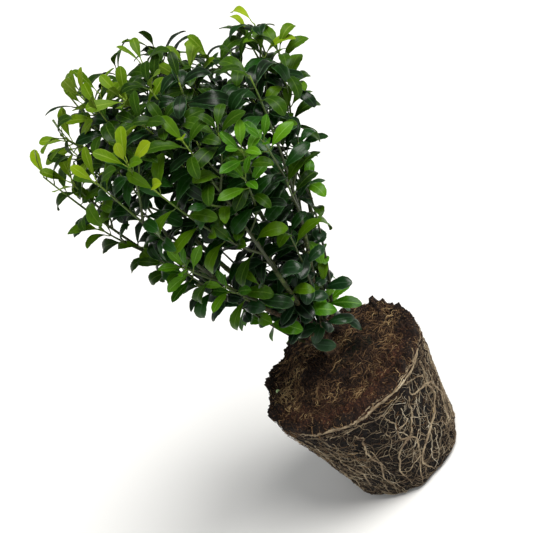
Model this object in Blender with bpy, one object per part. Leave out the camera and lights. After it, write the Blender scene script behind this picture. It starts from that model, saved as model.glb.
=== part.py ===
"""An evergreen euonymus shrub lifted out of its pot, standing on its bare root ball.

Metres, +Z up. The origin is the middle of the root ball's flat underside.
"""
import math
import random

import bmesh
import bpy
import numpy as np
from mathutils import Vector
from mathutils.bvhtree import BVHTree

GAP = 0.0003                    # clear space between solids that meet
GOLDEN_ANGLE = math.radians(137.5)

# Root ball: the inside of a 1.5 litre nursery pot, with the soil heaped round the trunk.
BALL_HEIGHT = 0.115             # to the soil's rim
BALL_BASE_RADIUS = 0.052
BALL_TOP_RADIUS = 0.0725
BALL_LUMP = 0.0021              # how far the side swells in and out
SOIL_LUMP = 0.0015              # how far the soil's top and rim rise and fall
MOUND_HEIGHT = 0.013
MOUND_SPREAD = 0.030
SEAT_RADIUS = 0.0115            # flat top of the mound, under the trunk
RIM_LUMPS_FROM = 0.100          # height above which the side follows the rim's ups and downs
EDGE_ROUND = 0.003              # how far the two edges of the side turn in
BOTTOM_ROUND_HEIGHT = 0.006
TOP_ROUND_HEIGHT = 0.007
BALL_COLUMNS = 34
SIDE_RINGS = (0.0, 0.004, 0.018, 0.036, 0.054, 0.072, 0.090, 0.105, 0.1115, BALL_HEIGHT)
SOIL_RINGS = (0.94, 0.82, 0.68, 0.54, 0.40, 0.28, SEAT_RADIUS / BALL_TOP_RADIUS)  # shares of the rim

# Roots that run over the side of the ball.
ROOT_SIDES = 5
RIM_ROOT_RADIUS = 0.0013
RIM_ROOT_START = math.radians(-160.0)
RIM_ROOT_SWEEP = math.radians(175.0)
RIM_ROOT_DROP = 0.0042          # below the soil's rim, at its left end
RIM_ROOT_FALL = 0.004           # lower again by its right end
RIM_ROOT_WAVE = 0.0012          # and this much up and down on the way
RIM_ROOT_WAVE_TURN = 13.0       # radians of that wave along the root
RIM_ROOT_STEPS = 20
SIDE_ROOT_RADIUS = 0.0015
SIDE_ROOT_COUNT = 7
SIDE_ROOT_STEPS = 11
SIDE_ROOT_TOPS = (0.078, 0.088)     # heights between which a side root starts
SIDE_ROOT_BOTTOMS = (0.014, 0.026)  # and ends
SIDE_ROOT_SLANT = 0.22          # most radians round the ball from top to bottom
SIDE_ROOT_WAVES = (0.05, 0.10)  # least and most radians to and fro on the way
SIDE_ROOT_WAVE_TURN = 5.5       # radians of that wave along the root
ROOT_TAPER = 0.45               # share of the radius lost at a root's ends

# Trunk: short, flared at the soil, forking at once.
TRUNK_FOOT = Vector((0.003, 0.0, BALL_HEIGHT + MOUND_HEIGHT + GAP))
TRUNK_HEIGHT = 0.054
TRUNK_RISES = (0.0, 0.0015, 0.004, 0.008, 0.015, 0.025, 0.036, TRUNK_HEIGHT)
TRUNK_LEAN = math.radians(3.0)  # towards -X
TRUNK_FOOT_RADIUS = 0.0088
TRUNK_NECK_RADIUS = 0.0054
TRUNK_TOP_RADIUS = 0.0038
FLARE_HEIGHT = 0.004
FLARE_RIDGES = 5
FLARE_RIDGE_SHARE = 0.25        # of the flare, by which a ridge stands out
TRUNK_SIDES = 14

# Crown: its outline turned about a line that shifts with height.
CROWN_FOOT = Vector((0.005, 0.0, 0.150))
CROWN_HEIGHTS = (0.134, 0.165, 0.190, 0.250, 0.300, 0.350, 0.390, 0.415, 0.440, 0.468)
CROWN_RADII = (0.024, 0.032, 0.045, 0.066, 0.086, 0.104, 0.113, 0.106, 0.076, 0.032)
CROWN_SHIFTS = (0.010, 0.013, 0.006, 0.004, 0.011, 0.014, 0.017, 0.008, -0.008, -0.030)
CROWN_SLOPE = 0.30              # fall of the top towards the back
CROWN_SLOPE_HEIGHTS = (0.300, 0.400)    # where the slope sets in and is whole
LEAST_REACH = 0.050             # from the crown's foot to its outline, where the search starts
MOST_REACH = 0.400
REACH_STEP = 0.002

# Limbs from the lowest up: name, azimuth from +X and lean from upright in degrees, and the
# share of the way to the crown's outline that the stem's tip reaches.
LOW_LIMBS = (
    ("low_left", 205.0, 26.0, 0.50),
    ("low_right", 342.0, 27.0, 0.52),
    ("low_back", 74.0, 26.0, 0.52),
    ("low_front", 252.0, 27.0, 0.50),
    ("low_front_right", 296.0, 26.0, 0.50),
    ("low_back_left", 119.0, 26.0, 0.52),
)
HIGH_LIMBS = (
    ("right", 5.0, 22.5, 0.95),
    ("back_left", 140.0, 20.0, 0.93),
    ("front", 273.0, 19.5, 0.90),
    ("back_right", 50.0, 21.0, 0.93),
    ("left", 183.0, 19.5, 0.95),
    ("front_right", 318.0, 21.0, 0.92),
    ("back", 97.0, 20.0, 0.92),
    ("front_left", 228.0, 19.5, 0.93),
)
TOP_LIMBS = (
    ("top_right", 40.0, 8.5, 0.94),
    ("top_front", 282.0, 9.0, 0.92),
    ("top", 172.0, 7.5, 0.97),
)
LOW_BARE = 0.27                 # share of a limb that is a bare bough
HIGH_BARE = 0.46
LOW_ROOM_REACH = 0.078          # from the crown's foot to the middle that owns a mass's room
HIGH_ROOM_REACH = 0.192
FORK_BOTTOM_Z = 0.1375
FORK_STEP = 0.0025              # height from one bough to the next
BASE_LEAN = math.radians(27.0)  # a bough leaves the trunk flatter by this
MOST_BASE_LEAN = math.radians(66.0)
TIP_LEAN = math.radians(9.0)    # and ends steeper by this
BASE_PULL = 0.22                # shares of its length over which it holds those leans
TIP_PULL = 0.30
BOUGH_RADIUS = 0.0022
BOUGH_END_RADIUS = 0.0016
LEADER = "top"                  # the limb that carries the trunk on
LEADER_RADIUS = 0.0028
BOUGH_SIDES = 6
BOUGH_STEPS = 7

# Foliage: opposite pairs of leaves, each pair turned a quarter from the last.
STEM_RADIUS = 0.0015
TWIG_RADIUS = 0.0011
TWIG_END_RADIUS = 0.0007
TWIG_SIDES = 3
TWIG_STEPS = 3
STEM_STEPS = 5
HIGH_SHOOTS = 6
LOW_SHOOTS = 4
SHOOT_ANGLE = math.radians(36.0)
SHOOT_OFFSET = 0.026            # how far a side shoot stands off its stem
OFFSET_SPREAD = (0.8, 1.2)      # shares of that
OFFSET_FALL = 0.3               # share by which it is less for a shoot at the stem's tip
SHOOT_FAN = 0.20                # how much the shoot goes on leaning away
SHOOT_SPREAD = (0.72, 0.92)     # its length as a share of the stem that is left beside it
LEAST_SHOOT_END = 0.016         # shortest stretch past its bend
FIRST_SHOOT = 0.03              # shares of the stem between which side shoots leave it
LAST_SHOOT = 0.63
NODE_SPACING = 0.0168
STEM_FIRST_PAIR = 0.6           # where the first pair stands, in spacings from the foot
SHOOT_FIRST_PAIR = 0.75
PAIR_TURN_SPREAD = 0.25         # radians off the quarter turn between pairs
PAIR_STEP = 0.0012              # from one leaf of a pair to the other, along the shoot
LEAF_LENGTH = 0.034
LEAF_WIDTH = 0.0175
LEAF_THICKNESS = 0.0011
LEAF_BELLY = 0.56               # where the leaf is widest, as a share of its length
LEAF_SIZES = (0.84, 1.08)
TIP_SIZE_FALL = 0.18            # share by which the last leaves of a shoot are smaller
LEAF_ARCH = 0.13                # rise of the middle, as a share of the length
LEAF_FOLD = 0.0022              # drop of the margins
LEAF_RISE = math.radians(34.0)  # of a leaf from square to its shoot, low on the shoot
TIP_RISE = math.radians(22.0)   # and added to it at the shoot's tip
RISE_SPREAD = math.radians(8.0)
LEAF_TRIES = (0.0, 12.0, 24.0, 34.0)   # degrees by which a leaf that doesn't fit is folded up
TRY_SHRINK = 0.006              # and the share by which it is smaller for each of them
CELL_MARGIN = 0.0003            # from the plane between two masses
LIMB_CLEARANCE = 0.0005
SEED = 7


def clear_scene():
    for thing in list(bpy.data.objects):
        bpy.data.objects.remove(thing, do_unlink=True)


def material(name, colour, roughness):
    made = bpy.data.materials.new(name)
    made.use_nodes = True
    shader = made.node_tree.nodes["Principled BSDF"]
    shader.inputs["Base Color"].default_value = (*colour, 1.0)
    shader.inputs["Roughness"].default_value = roughness
    shader.inputs["Metallic"].default_value = 0.0
    return made


def add_object(name, vertices, faces, surface, smooth=False):
    mesh = bpy.data.meshes.new(name)
    mesh.from_pydata([tuple(v) for v in vertices], [], faces)
    mesh.materials.append(surface)
    solid = bmesh.new()
    solid.from_mesh(mesh)
    bmesh.ops.recalc_face_normals(solid, faces=solid.faces)
    solid.to_mesh(mesh)
    solid.free()
    if smooth:
        mesh.shade_smooth()
        mesh.set_sharp_from_angle(angle=math.radians(50.0))
    made = bpy.data.objects.new(name, mesh)
    bpy.context.scene.collection.objects.link(made)
    return made


def as_cutter(thing):
    thing.hide_render = True
    thing.display_type = "WIRE"


def apply_modifiers(thing):
    graph = bpy.context.evaluated_depsgraph_get()
    baked = bpy.data.meshes.new_from_object(thing.evaluated_get(graph))
    thing.modifiers.clear()
    thing.data = baked


def cut(thing, cutter):
    trimmed = thing.modifiers.new("clear of " + cutter.name, "BOOLEAN")
    trimmed.operation = "DIFFERENCE"
    trimmed.object = cutter


def direction(azimuth, lean):
    flat = math.sin(lean)
    return Vector((flat * math.cos(azimuth), flat * math.sin(azimuth), math.cos(lean)))


# Tubes

def tube_shape(points, radii, sides):
    """Rings square to the path, each turned as little as possible from the last."""
    count = len(points)
    normal = None
    vertices = []
    for i, point in enumerate(points):
        ahead = points[min(i + 1, count - 1)] - points[max(i - 1, 0)]
        ahead.normalize()
        if normal is None:
            normal = ahead.orthogonal()
        normal = (normal - ahead * normal.dot(ahead)).normalized()
        across = ahead.cross(normal)
        for k in range(sides):
            turn = 2.0 * math.pi * k / sides
            around = normal * math.cos(turn) + across * math.sin(turn)
            vertices.append(point + around * radii[i])
    return vertices, stacked_faces(count, sides)


def stacked_faces(rings, sides):
    """Faces of a closed stack of rings: a cap at each end and a band between each two rings."""
    faces = [tuple(range(sides)), tuple(range((rings - 1) * sides, rings * sides))]
    for low in range(0, (rings - 1) * sides, sides):
        for k in range(sides):
            after = (k + 1) % sides
            faces.append((low + k, low + after, low + sides + after, low + sides + k))
    return faces


def tapered(start, end, count):
    return [start + (end - start) * i / (count - 1) for i in range(count)]


# Root ball

def side_lumps(angle, share):
    """Swelling of the ball's side: three waves round it, each twisted with height."""
    return (
        np.sin(3 * angle + 2.1 * share + 0.4)
        + 0.7 * np.sin(7 * angle - 5.3 * share + 1.9)
        + 0.5 * np.sin(13 * angle + 8.7 * share + 4.2)
    ) / 2.2


def soil_lumps(angle, share):
    """Unevenness of the soil's top: waves round it that change towards the middle."""
    return (
        np.sin(4 * angle + 6.0 * share + 1.1)
        + 0.8 * np.sin(9 * angle - 11.0 * share + 2.6)
    ) / 1.8


def ball_side_radius(angle, height):
    """Radius of the ball's side: a straight taper, rounded at both edges, with lumps."""
    share = np.clip(height / BALL_HEIGHT, 0.0, 1.0)
    radius = BALL_BASE_RADIUS + (BALL_TOP_RADIUS - BALL_BASE_RADIUS) * share
    low = np.clip(1.0 - height / BOTTOM_ROUND_HEIGHT, 0.0, 1.0)
    high = np.clip(1.0 - (BALL_HEIGHT - height) / TOP_ROUND_HEIGHT, 0.0, 1.0)
    return radius + BALL_LUMP * side_lumps(angle, share) - EDGE_ROUND * (low ** 2 + high ** 2)


def soil_height(angle, share):
    """Height of the soil at a share of the rim's radius: a mound with a flat middle, lumpy outside it."""
    radius = share * BALL_TOP_RADIUS
    fall = np.clip(radius - SEAT_RADIUS, 0.0, None) / MOUND_SPREAD
    lumps = SOIL_LUMP * soil_lumps(angle, share) * np.clip(fall * 2.5, 0.0, 1.0)
    return BALL_HEIGHT + MOUND_HEIGHT * np.exp(-fall ** 2) + lumps


def ring(angle, radius, level):
    return np.stack([radius * np.cos(angle), radius * np.sin(angle), level + 0.0 * angle], axis=1)


def ball_shape(grow=0.0):
    """The ball's closed surface, grown outwards by a clearance where it serves as a cutter."""
    angle = np.linspace(0.0, 2.0 * math.pi, BALL_COLUMNS, endpoint=False)
    rings = []
    for height in SIDE_RINGS:
        radius = ball_side_radius(angle, height) + grow
        rim_share = max(0.0, (height - RIM_LUMPS_FROM) / (BALL_HEIGHT - RIM_LUMPS_FROM))
        lumps = (soil_height(angle, 1.0) - BALL_HEIGHT) * rim_share
        level = height + lumps + grow * (2.0 * height / BALL_HEIGHT - 1.0)
        rings.append(ring(angle, radius, level))
    rim = ball_side_radius(angle, BALL_HEIGHT)
    seat_share = SOIL_RINGS[-1]
    for share in SOIL_RINGS:
        from_seat = (share - seat_share) / (1.0 - seat_share)
        radius = share * (BALL_TOP_RADIUS + (rim - BALL_TOP_RADIUS) * from_seat)
        rings.append(ring(angle, radius, soil_height(angle, share) + grow))
    return np.concatenate(rings), stacked_faces(len(rings), BALL_COLUMNS)


def root_ball(surface):
    vertices, faces = ball_shape()
    return add_object("root_ball", vertices, faces, surface, smooth=True)


def on_side(angle, height):
    radius = float(ball_side_radius(angle, height))
    return Vector((radius * math.cos(angle), radius * math.sin(angle), height))


def surface_root(name, path, radius, cutter, surface):
    """A root half sunk in the ball's side, thinner at both ends, with the sunk half cut away."""
    last = len(path) - 1
    radii = [radius * (1.0 - ROOT_TAPER * abs(2.0 * i / last - 1.0) ** 3) for i in range(last + 1)]
    vertices, faces = tube_shape(path, radii, ROOT_SIDES)
    made = add_object(name, vertices, faces, surface, smooth=True)
    cut(made, cutter)


def rim_root(cutter, surface):
    """The root that circles just below the soil's rim, round the front."""
    path = []
    for i in range(RIM_ROOT_STEPS + 1):
        share = i / RIM_ROOT_STEPS
        wave = RIM_ROOT_WAVE * math.sin(RIM_ROOT_WAVE_TURN * share)
        drop = RIM_ROOT_DROP + RIM_ROOT_FALL * share ** 2 + wave
        path.append(on_side(RIM_ROOT_START + RIM_ROOT_SWEEP * share, BALL_HEIGHT - drop))
    surface_root("rim_root", path, RIM_ROOT_RADIUS, cutter, surface)


def side_roots(cutter, surface):
    """Roots that wander down the side, one to each sector, so none of them meet."""
    for k in range(SIDE_ROOT_COUNT):
        chance = random.Random(SEED * 100 + k)
        sector = 2.0 * math.pi / SIDE_ROOT_COUNT
        middle = sector * (k + 0.5) - math.pi / 2.0
        slant = chance.uniform(-SIDE_ROOT_SLANT, SIDE_ROOT_SLANT)
        wave = chance.uniform(*SIDE_ROOT_WAVES)
        phase = chance.uniform(0.0, 2.0 * math.pi)
        top = chance.uniform(*SIDE_ROOT_TOPS)
        bottom = chance.uniform(*SIDE_ROOT_BOTTOMS)
        path = []
        for i in range(SIDE_ROOT_STEPS + 1):
            share = i / SIDE_ROOT_STEPS
            sway = wave * math.sin(phase + SIDE_ROOT_WAVE_TURN * share)
            angle = middle + slant * (share - 0.5) + sway
            path.append(on_side(angle, top + (bottom - top) * share))
        surface_root(f"side_root_{k + 1}", path, SIDE_ROOT_RADIUS, cutter, surface)


# Trunk and boughs

def trunk_axis(height):
    rise = height - TRUNK_FOOT.z
    return TRUNK_FOOT + Vector((-rise * math.tan(TRUNK_LEAN), 0.0, rise))


def trunk_radius(rise, angle):
    """Neck radius tapering to the top, with a ridged flare that dies out above the soil."""
    share = rise / TRUNK_HEIGHT
    shaft = TRUNK_NECK_RADIUS + (TRUNK_TOP_RADIUS - TRUNK_NECK_RADIUS) * share
    flare = (TRUNK_FOOT_RADIUS - TRUNK_NECK_RADIUS) * math.exp(-rise / FLARE_HEIGHT)
    return shaft + flare * (1.0 + FLARE_RIDGE_SHARE * math.cos(FLARE_RIDGES * angle))


def trunk_shape(grow=0.0):
    """The trunk's rings, grown outwards by a clearance where it serves as a cutter."""
    vertices = []
    for rise in TRUNK_RISES:
        middle = trunk_axis(TRUNK_FOOT.z + rise)
        lift = grow if rise == TRUNK_RISES[-1] else 0.0
        for k in range(TRUNK_SIDES):
            angle = 2.0 * math.pi * k / TRUNK_SIDES
            reach = trunk_radius(rise, angle) + grow
            vertices.append(middle + Vector((reach * math.cos(angle), reach * math.sin(angle), lift)))
    return vertices, stacked_faces(len(TRUNK_RISES), TRUNK_SIDES)


def crown_reach(azimuth, lean):
    """Distance from the crown's foot to its outline along a direction."""
    ray = direction(azimuth, lean)
    reach = LEAST_REACH
    while in_crown([CROWN_FOOT + ray * reach]) and reach < MOST_REACH:
        reach += REACH_STEP
    return reach


def in_crown(points):
    """Whether all the points lie inside the crown's outline, whose top falls towards the back."""
    array = np.array([tuple(p) for p in points])
    slope = CROWN_SLOPE * np.interp(array[:, 2], CROWN_SLOPE_HEIGHTS, (0.0, 1.0))
    height = array[:, 2] + slope * np.maximum(array[:, 1], 0.0)
    shift = np.interp(height, CROWN_HEIGHTS, CROWN_SHIFTS)
    radius = np.interp(height, CROWN_HEIGHTS, CROWN_RADII)
    from_axis = np.hypot(array[:, 0] - shift, array[:, 1])
    low, high = CROWN_HEIGHTS[0], CROWN_HEIGHTS[-1]
    return bool(np.all((from_axis <= radius) & (height >= low) & (height <= high)))


class Limb:
    """One limb's path, from the trunk's axis to its furthest tip: bare bough, then leafy stem."""

    def __init__(self, order, low, name, azimuth, lean, share):
        self.name = name
        self.low = low
        self.bare = LOW_BARE if low else HIGH_BARE
        self.radius = LEADER_RADIUS if name == LEADER else BOUGH_RADIUS
        azimuth, lean = math.radians(azimuth), math.radians(lean)
        room_reach = LOW_ROOM_REACH if low else HIGH_ROOM_REACH
        self.room = CROWN_FOOT + direction(azimuth, lean) * room_reach
        fork = trunk_axis(FORK_BOTTOM_Z + FORK_STEP * order)
        tip = CROWN_FOOT + direction(azimuth, lean) * crown_reach(azimuth, lean) * share
        span = (tip - fork).length
        first = fork + direction(azimuth, min(lean + BASE_LEAN, MOST_BASE_LEAN)) * span * BASE_PULL
        second = tip - direction(azimuth, max(lean - TIP_LEAN, 0.0)) * span * TIP_PULL
        self.corners = (fork, first, second, tip)

    def point(self, share):
        """Cubic curve through the fork and the tip."""
        a, b, c, d = self.corners
        left = 1.0 - share
        return (
            a * left ** 3 + b * 3.0 * left ** 2 * share
            + c * 3.0 * left * share ** 2 + d * share ** 3
        )

    def heading(self, share):
        return (self.point(min(share + 0.01, 1.0)) - self.point(max(share - 0.01, 0.0))).normalized()


def all_limbs():
    rows = LOW_LIMBS + HIGH_LIMBS + TOP_LIMBS
    return [Limb(order, order < len(LOW_LIMBS), *row) for order, row in enumerate(rows)]


def bough_shape(limb, grow=0.0):
    shares = tapered(0.0, limb.bare, BOUGH_STEPS + 1)
    points = [limb.point(share) for share in shares]
    radii = [radius + grow for radius in tapered(limb.radius, BOUGH_END_RADIUS, BOUGH_STEPS + 1)]
    return tube_shape(points, radii, BOUGH_SIDES)


def bough(limb, cutter, surface):
    vertices, faces = bough_shape(limb)
    made = add_object("bough_" + limb.name, vertices, faces, surface, smooth=True)
    cut(made, cutter)


def stem_path(limb):
    """The leafy stem's path, which starts clear of the bough's end."""
    seat = limb.point(limb.bare) + limb.heading(limb.bare) * GAP
    return [seat] + [limb.point(share) for share in tapered(limb.bare, 1.0, STEM_STEPS + 1)[1:]]


def stem_shape(limb, grow=0.0):
    path = stem_path(limb)
    radii = [radius + grow for radius in tapered(STEM_RADIUS, TWIG_END_RADIUS, len(path))]
    return tube_shape(path, radii, TWIG_SIDES)


def limbs_tree(limbs, own):
    """Search tree of what a limb's foliage keeps clear of: trunk, boughs and the other stems."""
    vertices, faces = [], []
    shapes = [bough_shape(limb, LIMB_CLEARANCE) for limb in limbs] + [trunk_shape(LIMB_CLEARANCE)]
    shapes += [stem_shape(limb, 2.0 * LIMB_CLEARANCE) for limb in limbs if limb is not own]
    for points, polygons in shapes:
        first = len(vertices)
        vertices.extend(points)
        faces.extend([tuple(first + corner for corner in polygon) for polygon in polygons])
    return BVHTree.FromPolygons(vertices, faces)


# Foliage

class Space:
    """A mass's own room: the points nearer to its centre than to any other mass's."""

    def __init__(self, centres, index):
        own = centres[index]
        self.planes = []
        for other, centre in enumerate(centres):
            if other != index:
                normal = (centre - own).normalized()
                self.planes.append((normal, normal.dot((own + centre) * 0.5) - CELL_MARGIN))

    def holds(self, points):
        inside = all(normal.dot(p) <= limit for normal, limit in self.planes for p in points)
        return inside and in_crown(points)


def leaf_shape(base, axis, normal, scale):
    """Eight faces between the base, the tip, two margins and the middle's two sides."""
    side = axis.cross(normal).normalized()
    length = LEAF_LENGTH * scale
    middle = base + axis * (LEAF_BELLY * length) + normal * (LEAF_ARCH * length)
    half = side * (LEAF_WIDTH * 0.5 * scale)
    drop = normal * LEAF_FOLD
    tip = base + axis * length
    under = middle - normal * LEAF_THICKNESS
    vertices = [base, middle - half - drop, tip, middle + half - drop, middle, under]
    faces = [(0, 1, 4), (1, 2, 4), (2, 3, 4), (3, 0, 4), (1, 0, 5), (2, 1, 5), (3, 2, 5), (0, 3, 5)]
    return vertices, faces


class Mass:
    """One limb's foliage, grown inside its own space and kept clear of trunk and boughs."""

    def __init__(self, limb, space, obstacles):
        self.limb = limb
        self.space = space
        self.obstacles = obstacles
        self.shapes = []
        self.paths = []
        self.shoots = []
        self.blades = []
        self.skipped = 0

    def fits(self, shape, others=()):
        if not self.space.holds(shape[0]):
            return False
        tree = BVHTree.FromPolygons(*shape)
        return not tree.overlap(self.obstacles) and not any(tree.overlap(other) for other in others)

    def add_leaf(self, shoot, base, out, ahead, rise, scale):
        """A leaf standing out from its shoot, folded up along it and made smaller until it fits."""
        others = self.blades + [tree for k, tree in enumerate(self.shoots) if k != shoot]
        for extra in LEAF_TRIES:
            angle = rise + math.radians(extra)
            axis = (out * math.cos(angle) + ahead * math.sin(angle)).normalized()
            normal = (ahead - axis * ahead.dot(axis)).normalized()
            shape = leaf_shape(base, axis, normal, scale * (1.0 - TRY_SHRINK * extra))
            if self.fits(shape, others):
                self.shapes.append(shape)
                self.blades.append(BVHTree.FromPolygons(*shape))
                return
        self.skipped += 1

    def add_leaves(self, shoot, path, first, chance):
        """Opposite pairs along a path of points, a quarter turn from pair to pair."""
        lengths = [0.0]
        for before, after in zip(path, path[1:]):
            lengths.append(lengths[-1] + (after - before).length)
        place, turn = first, chance.uniform(0.0, math.pi)
        while place <= lengths[-1]:
            i = max(k for k in range(len(path) - 1) if lengths[k] <= place)
            along = (place - lengths[i]) / (lengths[i + 1] - lengths[i])
            base = path[i].lerp(path[i + 1], along)
            ahead = (path[i + 1] - path[i]).normalized()
            across = ahead.orthogonal().normalized()
            near_tip = place / lengths[-1]
            for half in (0, 1):
                angle = turn + math.pi * half
                out = across * math.cos(angle) + ahead.cross(across) * math.sin(angle)
                rise = LEAF_RISE + TIP_RISE * near_tip ** 2 + chance.uniform(-RISE_SPREAD, RISE_SPREAD)
                scale = chance.uniform(*LEAF_SIZES) * (1.0 - TIP_SIZE_FALL * near_tip ** 4)
                self.add_leaf(shoot, base + ahead * PAIR_STEP * half, out, ahead, rise, scale)
            place += NODE_SPACING
            turn += math.pi / 2.0 + chance.uniform(-PAIR_TURN_SPREAD, PAIR_TURN_SPREAD)

    def add_shoot(self, path, shape):
        self.shapes.append(shape)
        self.paths.append(path)
        self.shoots.append(BVHTree.FromPolygons(*shape))

    def add_twig(self, path):
        """A twig, cut back to where it would leave the space or touch a limb."""
        while len(path) > 2:
            shape = tube_shape(path, tapered(TWIG_RADIUS, TWIG_END_RADIUS, len(path)), TWIG_SIDES)
            if self.fits(shape):
                self.add_shoot(path, shape)
                return
            path = path[:-1]

    def twig_path(self, share, turn, chance):
        """A side shoot's path: it leaves the stem at an angle, then runs on beside it."""
        limb = self.limb
        along = limb.bare + (1.0 - limb.bare) * share
        start, ahead = limb.point(along), limb.heading(along)
        across = ahead.orthogonal().normalized()
        out = across * math.cos(turn) + ahead.cross(across) * math.sin(turn)
        offset = SHOOT_OFFSET * chance.uniform(*OFFSET_SPREAD) * (1.0 - OFFSET_FALL * share)
        first = offset / math.sin(SHOOT_ANGLE)
        span = (limb.point(1.0) - limb.point(limb.bare)).length * (1.0 - share)
        rest = max(span * chance.uniform(*SHOOT_SPREAD) - first, LEAST_SHOOT_END)
        bend = start + (ahead * math.cos(SHOOT_ANGLE) + out * math.sin(SHOOT_ANGLE)) * first
        end = bend + (ahead + out * SHOOT_FAN).normalized() * rest
        return [curve_point(start, bend, end, i / TWIG_STEPS) for i in range(TWIG_STEPS + 1)]

    def grow(self, chance, shoots):
        """The stem, then its side shoots, each turned by the golden angle, then all the leaves."""
        self.add_shoot(stem_path(self.limb), stem_shape(self.limb))
        phase = chance.uniform(0.0, 2.0 * math.pi)
        for k in range(shoots):
            share = FIRST_SHOOT + (LAST_SHOOT - FIRST_SHOOT) * k / (shoots - 1)
            self.add_twig(self.twig_path(share, phase + GOLDEN_ANGLE * k, chance))
        for k, path in enumerate(self.paths):
            self.add_leaves(k, path, NODE_SPACING * (SHOOT_FIRST_PAIR if k else STEM_FIRST_PAIR), chance)


def curve_point(start, bend, end, share):
    """Quadratic curve from start to end, drawn towards the bend."""
    left = 1.0 - share
    return start * left ** 2 + bend * 2.0 * left * share + end * share ** 2


def keep_largest(thing):
    """Drops any loose scrap that the union left."""
    solid = bmesh.new()
    solid.from_mesh(thing.data)
    unseen, groups = set(solid.verts), []
    while unseen:
        group, edge = set(), [unseen.pop()]
        while edge:
            vertex = edge.pop()
            group.add(vertex)
            for link in vertex.link_edges:
                other = link.other_vert(vertex)
                if other in unseen:
                    unseen.discard(other)
                    edge.append(other)
        groups.append(group)
    groups.sort(key=len)
    loose = [vertex for group in groups[:-1] for vertex in group]
    bmesh.ops.delete(solid, geom=loose, context="VERTS")
    solid.to_mesh(thing.data)
    solid.free()


def fuse(name, shapes, surface):
    """Joins the stem, its twigs and its leaves into one solid."""
    stem = add_object(name, *shapes[0], surface)
    parts = bpy.data.collections.new(name + "_parts")
    bpy.context.scene.collection.children.link(parts)
    for k, shape in enumerate(shapes[1:]):
        part = add_object(f"{name}_part_{k}", *shape, surface)
        bpy.context.scene.collection.objects.unlink(part)
        parts.objects.link(part)
    joined = stem.modifiers.new("join", "BOOLEAN")
    joined.operation = "UNION"
    joined.operand_type = "COLLECTION"
    joined.collection = parts
    apply_modifiers(stem)
    for part in list(parts.objects):
        bpy.data.objects.remove(part, do_unlink=True)
    bpy.data.collections.remove(parts)
    keep_largest(stem)


def foliage(limbs, surface):
    rooms = [limb.room for limb in limbs]
    for index, limb in enumerate(limbs):
        mass = Mass(limb, Space(rooms, index), limbs_tree(limbs, limb))
        mass.grow(random.Random(SEED + index), LOW_SHOOTS if limb.low else HIGH_SHOOTS)
        fuse("foliage_" + limb.name, mass.shapes, surface)
        print("foliage_" + limb.name, "leaves", len(mass.blades), "skipped", mass.skipped)


def main():
    clear_scene()
    soil = material("soil", (0.024, 0.012, 0.008), 0.95)
    root = material("root", (0.190, 0.110, 0.050), 0.75)
    bark = material("bark", (0.110, 0.075, 0.040), 0.80)
    green_bark = material("green_bark", (0.060, 0.075, 0.018), 0.60)
    leaf = material("leaf", (0.030, 0.085, 0.008), 0.35)
    root_ball(soil)
    ball_cutter = add_object("ball_cutter", *ball_shape(GAP), soil)
    as_cutter(ball_cutter)
    rim_root(ball_cutter, root)
    side_roots(ball_cutter, root)
    add_object("trunk", *trunk_shape(), bark, smooth=True)
    trunk_cutter = add_object("trunk_cutter", *trunk_shape(GAP), bark)
    as_cutter(trunk_cutter)
    limbs = all_limbs()
    for limb in limbs:
        bough(limb, trunk_cutter, green_bark)
    foliage(limbs, leaf)


main()
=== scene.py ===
import math
import random

import bpy
import numpy as np
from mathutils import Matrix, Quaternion, Vector


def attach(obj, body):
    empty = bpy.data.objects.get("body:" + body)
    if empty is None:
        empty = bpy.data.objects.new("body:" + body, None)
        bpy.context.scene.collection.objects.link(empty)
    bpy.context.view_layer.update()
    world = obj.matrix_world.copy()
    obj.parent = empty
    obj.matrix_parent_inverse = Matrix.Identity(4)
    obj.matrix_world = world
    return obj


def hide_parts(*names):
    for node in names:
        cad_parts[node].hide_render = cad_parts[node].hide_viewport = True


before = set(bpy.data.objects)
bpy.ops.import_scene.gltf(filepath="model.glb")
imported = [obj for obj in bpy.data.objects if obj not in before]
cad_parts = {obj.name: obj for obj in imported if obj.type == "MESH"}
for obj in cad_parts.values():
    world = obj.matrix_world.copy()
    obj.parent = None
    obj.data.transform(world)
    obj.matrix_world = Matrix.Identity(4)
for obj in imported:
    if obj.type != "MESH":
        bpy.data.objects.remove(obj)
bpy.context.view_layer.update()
print("frame loaded")

fullTurn = 2 * math.pi
goldenAngle = math.radians(137.5)


# Colour and node helpers

def linear(hexColour):
    # sRGB hex to linear light: (c + 0.055) / 1.055 to the power 2.4, or c / 12.92 where dark
    values = [int(hexColour[i:i + 2], 16) / 255 for i in (1, 3, 5)]
    return [((v + 0.055) / 1.055) ** 2.4 if v > 0.04045 else v / 12.92 for v in values] + [1.0]


def grain(millimetres):
    # the scale of a pattern whose cells are this wide: cells in a metre
    return 1000 / millimetres


def setStops(elements, stops):
    # a ramp's colours as (place, hex)
    while len(elements) < len(stops):
        elements.new(0.5)
    for element, (place, colour) in zip(elements, stops):
        element.position = place
        element.color = linear(colour)


def addNode(tree, kind, inputs, settings=None, output=0):
    # one node with its settings, and its inputs as values or as sockets to read; returns the output used
    made = tree.nodes.new("ShaderNode" + kind)
    for name, value in (settings or {}).items():
        setattr(made, name, value)
    for name, value in inputs.items():
        if name == "stops":
            setStops(made.color_ramp.elements, value)
        elif isinstance(value, bpy.types.NodeSocket):
            tree.links.new(value, made.inputs[name])
        else:
            made.inputs[name].default_value = value
    return made.outputs[output]


def newMaterial(name, values):
    # a Principled material with its constant values set on the shader's own sockets
    made = bpy.data.materials.new(name)
    made.use_nodes = True
    sockets = made.node_tree.nodes["Principled BSDF"].inputs
    for socket, value in values.items():
        sockets[socket].default_value = value
    return made, made.node_tree, sockets


# Whole-array mesh helpers

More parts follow.
